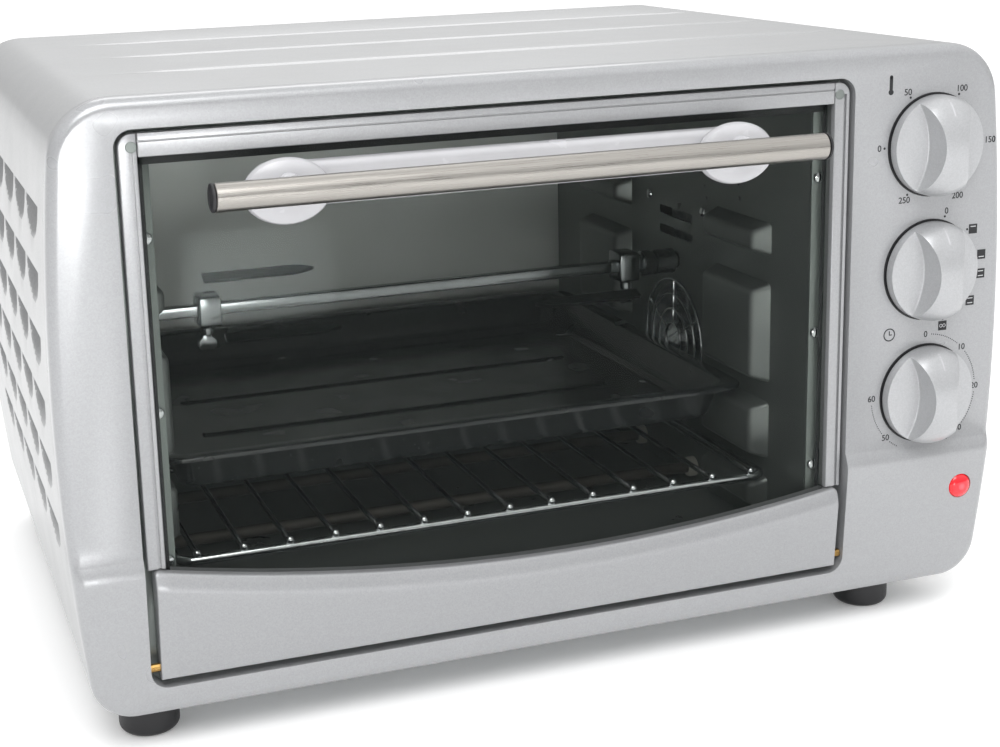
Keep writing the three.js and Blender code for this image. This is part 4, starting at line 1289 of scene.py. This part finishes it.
def vent(tool, z):
    side = rounded(SPIT.y - 20, SPIT.y + 20, z, z + 5, 1.5, 3)
    verts = chain(tool, [(CAVITY_RIGHT - 5, y, height) for y, height in side])
    face = bmesh.ops.contextual_create(tool, geom=verts)["faces"]
    grown = bmesh.ops.extrude_face_region(tool, geom=face)["geom"]
    moved = [g for g in grown if isinstance(g, bmesh.types.BMVert)]
    bmesh.ops.translate(tool, vec=(10 * MM, 0, 0), verts=moved)


def wall_hole(tool, inner, y, z, radius):
    rod(tool, (inner - 5, y, z), (inner + 5, y, z), radius, 48, 0.0)


make_wall("cavity_left_wall", 1, lambda tool: wall_hole(tool, CAVITY_LEFT, SPIT.y, SPIT.z, 5))
make_wall(
    "cavity_right_wall", -1,
    lambda tool: wall_hole(tool, CAVITY_RIGHT, SPIT.y, SPIT.z, 5.2),
    lambda tool: wall_hole(tool, CAVITY_RIGHT, FAN.y, FAN.z, 32),
    lambda tool: vent(tool, 177),
    lambda tool: vent(tool, 188),
)
for sheet_node in ("cavity_ceiling", "cavity_floor"):
    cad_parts[sheet_node].data.materials[0] = CAVITY_STEEL
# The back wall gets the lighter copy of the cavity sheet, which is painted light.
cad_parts["cavity_back_wall"].data.materials[0] = BACK_SHEET_PAINTED_LIGHT


# %% Flange
def make_flange():
    low, high = box_mm("cavity_front_flange")
    floor_z = box_mm("cavity_floor")[1].z
    roof_z = box_mm("cavity_ceiling")[0].z
    bm = bmesh.new()
    slab(bm, rounded(low.x, high.x, low.z, high.z, 6, 4), low.y, high.y)
    stays = [middle_mm(node).x for node in ("door_stay_left", "door_stay_right")]
    carve(
        bm,
        lambda tool: slab(
            tool, rounded(CAVITY_LEFT, CAVITY_RIGHT, floor_z, roof_z, 4, 5), low.y - 9, high.y + 9),
        *[lambda tool, x=x: slab(tool, rounded(x - 2.5, x + 2.5, 80, 98, 2, 3), low.y - 9, high.y + 9)
          for x in stays],
    )
    soften(bm, 0.3, angle=60, segments=2)
    return finished("mouth_flange", bm, FLANGE_STEEL, "oven_body", "cavity_steel", "cavity_front_flange")


def make_screws():
    """Pan-head screws: six on the flange and two that hold the spit's motor."""
    head = [(0, 0), (2.9, 0), (2.9, 0.5), (2.4, 1.3), (1.4, 1.7), (0, 1.8)]
    bm = bmesh.new()
    flange_front = box_mm("cavity_front_flange")[0].y
    spots = [((x, flange_front - 0.05, z), (0, -1, 0)) for x in (-189.5, 135.5) for z in (232, 155, 87)]
    spots += [((CAVITY_RIGHT + 0.05, SPIT.y + side * 33, SPIT.z + 33), (-1, 0, 0)) for side in (-1, 1)]
    for place, axis in spots:
        lathe(bm, head, place, axis, 20)
    return finished("cavity_screws", bm, CHROME, "oven_body", "plain_steel")


make_flange()
make_screws()


# %% [markdown]
# ## Heating elements and fan guard
# Each element is a sheathed rod that enters the walls through a pale ceramic bush. The
# guard is a set of rings that step out into the cavity like a shallow dome, on three ribs.


# %% Elements and guard
def make_element(node):
    low, high = box_mm(node)
    centre = (low + high) / 2
    radius = (high.z - low.z) / 2
    bm = bmesh.new()
    rod(bm, (low.x, centre.y, centre.z), (high.x, centre.y, centre.z), radius, 28, 0.2)
    return finished(node + "_rod", bm, SHEATH, "oven_body", "element_sheath", node)


def make_bushes():
    bm = bmesh.new()
    for node in ELEMENTS:
        low, high = box_mm(node)
        centre = (low + high) / 2
        for x, inwards in ((low.x, 1), (high.x, -1)):
            profile = [(3.3, 0), (5.6, 0), (5.6, 3.4), (5.0, 4.6), (3.3, 4.8)]
            verts = chain(bm, [(r, 0, h) for r, h in profile])
            edges = list({e for v in verts for e in v.link_edges})
            bmesh.ops.spin(bm, geom=verts + edges, cent=(0, 0, 0), axis=(0, 0, 1), angle=2 * pi, steps=28,
                           use_merge=True, use_duplicate=False)
            ring = island(verts[:1])
            turn = Vector((0, 0, 1)).rotation_difference(Vector((inwards, 0, 0))).to_matrix()
            bmesh.ops.rotate(bm, cent=(0, 0, 0), matrix=turn, verts=ring)
            bmesh.ops.translate(bm, vec=Vector((x, centre.y, centre.z)) * MM, verts=ring)
    bmesh.ops.recalc_face_normals(bm, faces=bm.faces)
    return finished("element_bushes", bm, CERAMIC, "oven_body", "element_sheath")


CERAMIC = moulded("unglazed steatite", "#c9c4b8", "#dcd8ce", 0.6, 2.0, 0.02)
ELEMENTS = [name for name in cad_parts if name.endswith("_element")]
for element in sorted(ELEMENTS):
    make_element(element)
make_bushes()


def make_guard():
    low, high = box_mm("fan_guard")
    bm = bmesh.new()
    rings = [(34.5, 0.8), (26.0, 0.9), (17.5, 1.0), (9.0, 1.1)]
    wire = 0.75
    for radius, rise in rings:
        circle = bmesh.ops.create_circle(bm, segments=10, radius=wire * MM)["verts"]
        bmesh.ops.translate(bm, vec=(radius * MM, 0, 0), verts=circle)
        bmesh.ops.rotate(bm, cent=(radius * MM, 0, 0), matrix=Matrix.Rotation(radians(90), 3, "X"),
                         verts=circle)
        edges = list({e for v in circle for e in v.link_edges})
        bmesh.ops.spin(bm, geom=circle + edges, cent=(0, 0, 0), axis=(0, 0, 1), angle=2 * pi, steps=56,
                       use_merge=True, use_duplicate=False)
        ring = island(circle[:1])
        bmesh.ops.rotate(bm, cent=(0, 0, 0), matrix=Matrix.Rotation(radians(-90), 3, "Y"), verts=ring)
        bmesh.ops.translate(bm, vec=Vector((high.x - rise, FAN.y, FAN.z)) * MM, verts=ring)
    for angle in (30, 90, 150, 210, 270, 330):
        reach = [(r, rise) for r, rise in rings]
        for (r0, h0), (r1, h1) in zip(reach, reach[1:]):
            a = Vector((high.x - h0, FAN.y + r0 * cos(radians(angle)), FAN.z + r0 * sin(radians(angle))))
            b = Vector((high.x - h1, FAN.y + r1 * cos(radians(angle)), FAN.z + r1 * sin(radians(angle))))
            rod(bm, a, b, 0.65, 8, 0.2)
    bmesh.ops.recalc_face_normals(bm, faces=bm.faces)
    return finished("ring_guard", bm, CHROME, "oven_body", "plain_steel", "fan_guard")


make_guard()

# %% [markdown]
# ## Spit and meat forks
# The spit is a square bar, pointed at its free end, whose other end sits in a round drive
# sleeve. Each fork is a block on the bar, a cross strap and two flat pointed tines, held
# by a thumb screw from below.

# %% Spit
SPIT_LOW, SPIT_HIGH = box_mm("spit_rod")


def make_spit():
    half = (SPIT_HIGH.z - SPIT_LOW.z) / 2
    bm = bmesh.new()
    made = block(bm, (SPIT_LOW.x + 6, SPIT.y - half, SPIT.z - half),
                 (SPIT_HIGH.x, SPIT.y + half, SPIT.z + half), 0.6, 3)
    tip = [(0, 0), (0.5, 0.1), (1.0, 0.7), (half - 0.2, 7.0), (half - 0.2, 8.0), (0, 8.0)]
    lathe(bm, tip, (SPIT_LOW.x, SPIT.y, SPIT.z), (1, 0, 0), 32)
    print("spit bar has", len(made), "vertices")
    return finished("spit_bar", bm, SPIT_STEEL, "spit", "plain_steel", "spit_rod")


def make_sleeve():
    low, high = box_mm("drive_coupler")
    bm = bmesh.new()
    length = high.x - low.x
    profile = [(0, 1.0), (4.3, 1.0), (5.0, 0), (6.4, 0), (7, 0.6), (7, 5), (6.2, 5.6), (6.2, 7.4), (7, 8),
               (7, 19.4), (6.4, 20), (4.4, 20), (4.4, length - 0.4), (4.0, length), (0, length)]
    lathe(bm, profile, (low.x, SPIT.y, SPIT.z), (1, 0, 0), 48)
    return finished("drive_sleeve", bm, SPIT_STEEL, "spit", "galvanised", "drive_coupler")


make_spit()
make_sleeve()


# %% Forks
FORK_TILT = radians(22)


def make_fork(node, body):
    low, high = box_mm(node)
    inwards = 1 if node.startswith("left") else -1
    x = low.x + 6 if inwards > 0 else high.x - 6
    tip = high.x - low.x - 9.5
    bm = bmesh.new()
    about = Matrix.Rotation(FORK_TILT, 3, "X")
    strap = block(bm, (inwards * 4.5 - 1, -31, -4.5), (inwards * 4.5 + 1, 31, 4.5), 0.5, 2)
    for side in (-1, 1):
        half = [(0, -3.5), (tip - 10, -3.5), (tip - 4, -1.8), (tip, 0)]
        blade = half + [(a, -b) for a, b in reversed(half[:-1])]
        verts = chain(bm, [(inwards * (3.5 + a), side * 28 + b, 1.0) for a, b in blade])
        face = bmesh.ops.contextual_create(bm, geom=verts)["faces"]
        grown = bmesh.ops.extrude_face_region(bm, geom=face)["geom"]
        moved = [g for g in grown if isinstance(g, bmesh.types.BMVert)]
        bmesh.ops.translate(bm, vec=(0, 0, -2 * MM), verts=moved)
        tine = island(verts[:1])
        strap += tine
    bmesh.ops.rotate(bm, cent=(0, 0, 0), matrix=about, verts=list(bm.verts))
    block(bm, (-6, -8, -8), (6, 8, 8), 1.2, 3)
    bmesh.ops.recalc_face_normals(bm, faces=bm.faces)
    bmesh.ops.translate(bm, vec=Vector((x, SPIT.y, SPIT.z)) * MM, verts=bm.verts)
    half = (SPIT_HIGH.z - SPIT_LOW.z) / 2 + 0.3
    carve(bm, lambda tool: block(
        tool, (x - 20, SPIT.y - half, SPIT.z - half), (x + 20, SPIT.y + half, SPIT.z + half), 0))
    return finished(node + "_plate", bm, SPIT_STEEL, body, "plain_steel", node)


def make_thumb_screw(node, body):
    low, high = box_mm(node)
    centre = (low + high) / 2
    bm = bmesh.new()
    rod(bm, (centre.x, centre.y, low.z + 8), (centre.x, centre.y, high.z), 1.9, 24, 0.2)
    collar = [(0, 0), (2.8, 0), (3.4, 0.6), (3.4, 3.9), (2.8, 4.5), (0, 4.5)]
    lathe(bm, collar, (centre.x, centre.y, low.z + 8.5), (0, 0, 1), 32)
    wing = [(-4.9, 2.2), (-3.4, 0.4), (-1.2, 0.2), (0, 1.2), (1.2, 0.2), (3.4, 0.4), (4.9, 2.2), (4.7, 5.2),
            (2.6, 7.4), (2.0, 9.4), (-2.0, 9.4), (-2.6, 7.4), (-4.7, 5.2)]
    slab(bm, [(centre.x + x, low.z + z) for x, z in wing], centre.y - 1.1, centre.y + 1.1, 0.5, 2)
    return finished(node + "_wing", bm, SPIT_STEEL, body, "plain_steel", node)


make_fork("left_fork", "left_meat_fork")
make_fork("right_fork", "right_meat_fork")
make_thumb_screw("left_fork_screw", "left_thumb_screw")
make_thumb_screw("right_fork_screw", "right_thumb_screw")

# %% [markdown]
# ## Wire rack
# A welded frame carries fourteen thin wires that run front to back. Each thin wire lies on
# the frame and ends in a small round bead over the front wire.

# %% Wire rack
RACK_LOW, RACK_HIGH = box_mm("wire_rack")
FRAME_WIRE = 2.2
CROSS_WIRE = 1.4
WIRE_COUNT = 14
WIRE_PITCH = 22.2


def make_rack():
    bm = bmesh.new()
    z = RACK_LOW.z + FRAME_WIRE + 0.6
    left, right_edge = RACK_LOW.x + FRAME_WIRE, RACK_HIGH.x - FRAME_WIRE
    front, back = RACK_LOW.y + FRAME_WIRE, RACK_HIGH.y - FRAME_WIRE
    bend = 8.0
    path = [(x, y) for x, y in rounded(left, right_edge, front, back, bend, 8)]
    ring = chain(bm, [(x, y, z) for x, y in path])
    loop = list({e for v in ring for e in v.link_edges})
    sweep(bm, path, z, FRAME_WIRE)
    bmesh.ops.delete(bm, geom=ring + loop, context="VERTS")
    door_middle = (DOOR_LEFT + DOOR_RIGHT) / 2
    first = door_middle - WIRE_PITCH * (WIRE_COUNT - 1) / 2
    top = RACK_HIGH.z - CROSS_WIRE
    for i in range(WIRE_COUNT):
        x = first + WIRE_PITCH * i
        if x - left < 4 or right_edge - x < 4:
            continue
        rod(bm, (x, front - 0.6, top), (x, back, top), CROSS_WIRE, 12, 0.6)
        ball = [(2.2 * sin(radians(a)), 2.2 - 2.2 * cos(radians(a))) for a in range(20, 180, 20)]
        bead = [(0, 0)] + ball + [(0, 4.4)]
        lathe(bm, bead, (x, front, top - 1.3), (0, 0, 1), 14)
    middle = (front + back) / 2
    rod(bm, (left, middle, z - 0.6), (right_edge, middle, z - 0.6), 1.8, 12, 0.2)
    return finished("welded_rack", bm, CHROME, "rack", "plain_steel", "wire_rack")


def sweep(bm, path, z, radius, sides=12):
    """A round wire along a closed level path: rings of points joined by bridging."""
    rings = []
    for i, (x, y) in enumerate(path):
        before, after = Vector(path[i - 1]), Vector(path[(i + 1) % len(path)])
        run = (after - before).normalized()
        across = Vector((run.y, -run.x, 0))
        circle = bmesh.ops.create_circle(bm, segments=sides, radius=radius * MM)["verts"]
        facing = Matrix((across, Vector((0, 0, 1)), Vector((run.x, run.y, 0)))).transposed()
        bmesh.ops.rotate(bm, cent=(0, 0, 0), matrix=facing, verts=circle)
        bmesh.ops.translate(bm, vec=Vector((x, y, z)) * MM, verts=circle)
        rings.append(circle)
    for a, b in zip(rings, rings[1:] + rings[:1]):
        edges = [e for v in a for e in v.link_edges if e.other_vert(v) in a]
        edges += [e for v in b for e in v.link_edges if e.other_vert(v) in b]
        bmesh.ops.bridge_loops(bm, edges=list(set(edges)))


make_rack()

# %% [markdown]
# ## Baking tray
# The tray is pressed from one sheet, so it is lofted through a few rounded rectangles, from
# the rolled rim down the wall to the floor, and given its thickness at the end. Four long
# ribs stiffen the floor.

# %% Tray
TRAY_LOW, TRAY_HIGH = box_mm("baking_tray")
TRAY_SHEET = 0.9
RIB_PITCH = 63.0


def tray_ring(bm, inset, z, radius):
    outline = rounded(TRAY_LOW.x + inset, TRAY_HIGH.x - inset,
                      TRAY_LOW.y + inset, TRAY_HIGH.y - inset, radius, 8)
    return chain(bm, [(x, y, z) for x, y in outline])


def make_tray():
    bm = bmesh.new()
    top = TRAY_HIGH.z - 0.05
    floor = TRAY_LOW.z + TRAY_SHEET + 0.1
    sections = [(0.9, top - 2.0, 15), (0.9, top - 0.8, 15), (1.3, top - 0.2, 15),
                (2.0, top, 15), (8.6, top, 12), (9.8, top - 0.5, 11),
                (10.6, top - 1.6, 11), (14.6, floor + 3.2, 9),
                (15.6, floor + 1.2, 9), (17.2, floor + 0.2, 9),
                (19.0, floor, 9)]
    rings = [tray_ring(bm, *section) for section in sections]
    for a, b in zip(rings, rings[1:]):
        edges = list({e for v in a for e in v.link_edges if e.other_vert(v) in a}
                     | {e for v in b for e in v.link_edges if e.other_vert(v) in b})
        bmesh.ops.bridge_loops(bm, edges=edges)
    bmesh.ops.contextual_create(bm, geom=rings[-1])
    bmesh.ops.recalc_face_normals(bm, faces=bm.faces)
    if max(bm.faces, key=lambda f: f.calc_area()).normal.z < 0:
        bmesh.ops.reverse_faces(bm, faces=bm.faces)
    bmesh.ops.solidify(bm, geom=bm.faces, thickness=TRAY_SHEET * MM)
    middle = (TRAY_LOW.y + TRAY_HIGH.y) / 2
    for step in (-1.5, -0.5, 0.5, 1.5):
        rib = middle + RIB_PITCH * step
        outline = rounded(TRAY_LOW.x + 40, TRAY_HIGH.x - 40, rib - 4, rib + 4, 3.9, 8)
        verts = chain(bm, [(x, y, floor - 0.3) for x, y in outline])
        face = bmesh.ops.contextual_create(bm, geom=verts)["faces"]
        grown = bmesh.ops.extrude_face_region(bm, geom=face)["geom"]
        moved = [g for g in grown if isinstance(g, bmesh.types.BMVert)]
        bmesh.ops.translate(bm, vec=(0, 0, 1.5 * MM), verts=moved)
        centre = sum((v.co for v in moved), Vector()) / len(moved)
        bmesh.ops.scale(bm, vec=(0.99, 0.45, 1), space=Matrix.Translation(-centre), verts=moved)
        raised = set(moved)
        bmesh.ops.recalc_face_normals(bm, faces=[f for f in bm.faces if any(v in raised for v in f.verts)])
    return finished("enamelled_tray", bm, ENAMEL, "tray", "black_enamel", "baking_tray")


make_tray()

# %% [markdown]
# ## What stays as it is
# Brackets, shafts, motors, pins and stays already have their real shapes, so they only get
# their finishes.

# %% Finishes on frame nodes
PLAIN_FINISHES = {
    "base_panel": GALVANISED, "rotisserie_motor": GALVANISED, "fan_housing": GALVANISED,
    "fan_motor": GALVANISED, "timer_mechanism": GALVANISED, "spit_bearing_bracket": CHROME,
    "fan_blade": CHROME, "door_stay_left": CHROME, "door_stay_right": CHROME,
    "hinge_pin_left": BRASS, "hinge_pin_right": BRASS, "thermostat_shaft": BRASS,
    "function_shaft": BRASS, "timer_shaft": BRASS, "thermostat": BLACK_PLASTIC,
    "function_switch": BLACK_PLASTIC, "pilot_lamp_body": BLACK_PLASTIC,
    "terminal_block": BLACK_PLASTIC, "cable_gland": BLACK_RUBBER,
}
for plain_node, finish in PLAIN_FINISHES.items():
    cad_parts[plain_node].data.materials[0] = finish
print("finished", len(PLAIN_FINISHES), "frame nodes")

# %% [markdown]
# ## Studio
# A pale floor runs out of sight under a white sky that is brightest overhead. One large soft
# light stands high in front, a little to the left, and a weak one low down reaches through
# the glass to the back of the cavity. A second fills from the right and a third lights the rear.


# %% Floor and lights
def make_floor():
    bm = bmesh.new()
    bmesh.ops.create_grid(bm, x_segments=1, y_segments=1, size=30)
    mesh = bpy.data.meshes.new("floor")
    bm.to_mesh(mesh)
    bm.free()
    material, tree, shader, coords = start_material("pale studio floor", {
        "Roughness": 0.9, "Emission Strength": 0.12, "Emission Color": linear("#ffffff")})
    cloud = add(tree, "TexNoise", {"Scale": 3.0}, {"Vector": coords})
    tint(tree, shader, cloud.outputs[0], "#f8f8f8", "#fbfbfb")
    mesh.materials.append(material)
    floor = bpy.data.objects.new("floor", mesh)
    bpy.context.scene.collection.objects.link(floor)


def soft_light(name, place, target, size, watts, spread=180):
    data = bpy.data.lights.new(name, "AREA")
    data.shape = "SQUARE"
    data.size = size
    data.energy = watts
    data.spread = radians(spread)
    lamp = bpy.data.objects.new(name, data)
    lamp.location = place
    lamp.rotation_euler = (Vector(target) - Vector(place)).to_track_quat("-Z", "Y").to_euler()
    bpy.context.scene.collection.objects.link(lamp)


make_floor()
soft_light("key", (-0.45, -1.35, 1.8), (0, 0, 0.15), 1.2, 24)
soft_light("fill", (1.6, -1.4, 1.2), (0, 0, 0.15), 1.6, 1)
soft_light("back", (0.4, 1.8, 1.8), (0, 0, 0.1), 1.6, 12)
soft_light("low", (-0.2, -1.6, 0.12), (-0.04, 0.15, 0.23), 0.4, 0.2, 30)

world = bpy.data.worlds.new("studio")
world.use_nodes = True
sky_tree = world.node_tree
heading = add(sky_tree, "TexCoord").outputs["Generated"]
height = add(sky_tree, "SeparateXYZ", links={0: heading}).outputs["Z"]
brightness = add(sky_tree, "MapRange", {"From Min": -0.1, "From Max": 0.9, "To Min": 0.38, "To Max": 1.3},
                 {"Value": height})
sky = sky_tree.nodes["Background"]
sky.inputs["Color"].default_value = (1, 1, 1, 1)
sky_tree.links.new(brightness.outputs[0], sky.inputs["Strength"])
bpy.context.scene.world = world
bpy.context.scene.view_settings.view_transform = "Standard"
print("studio lit")
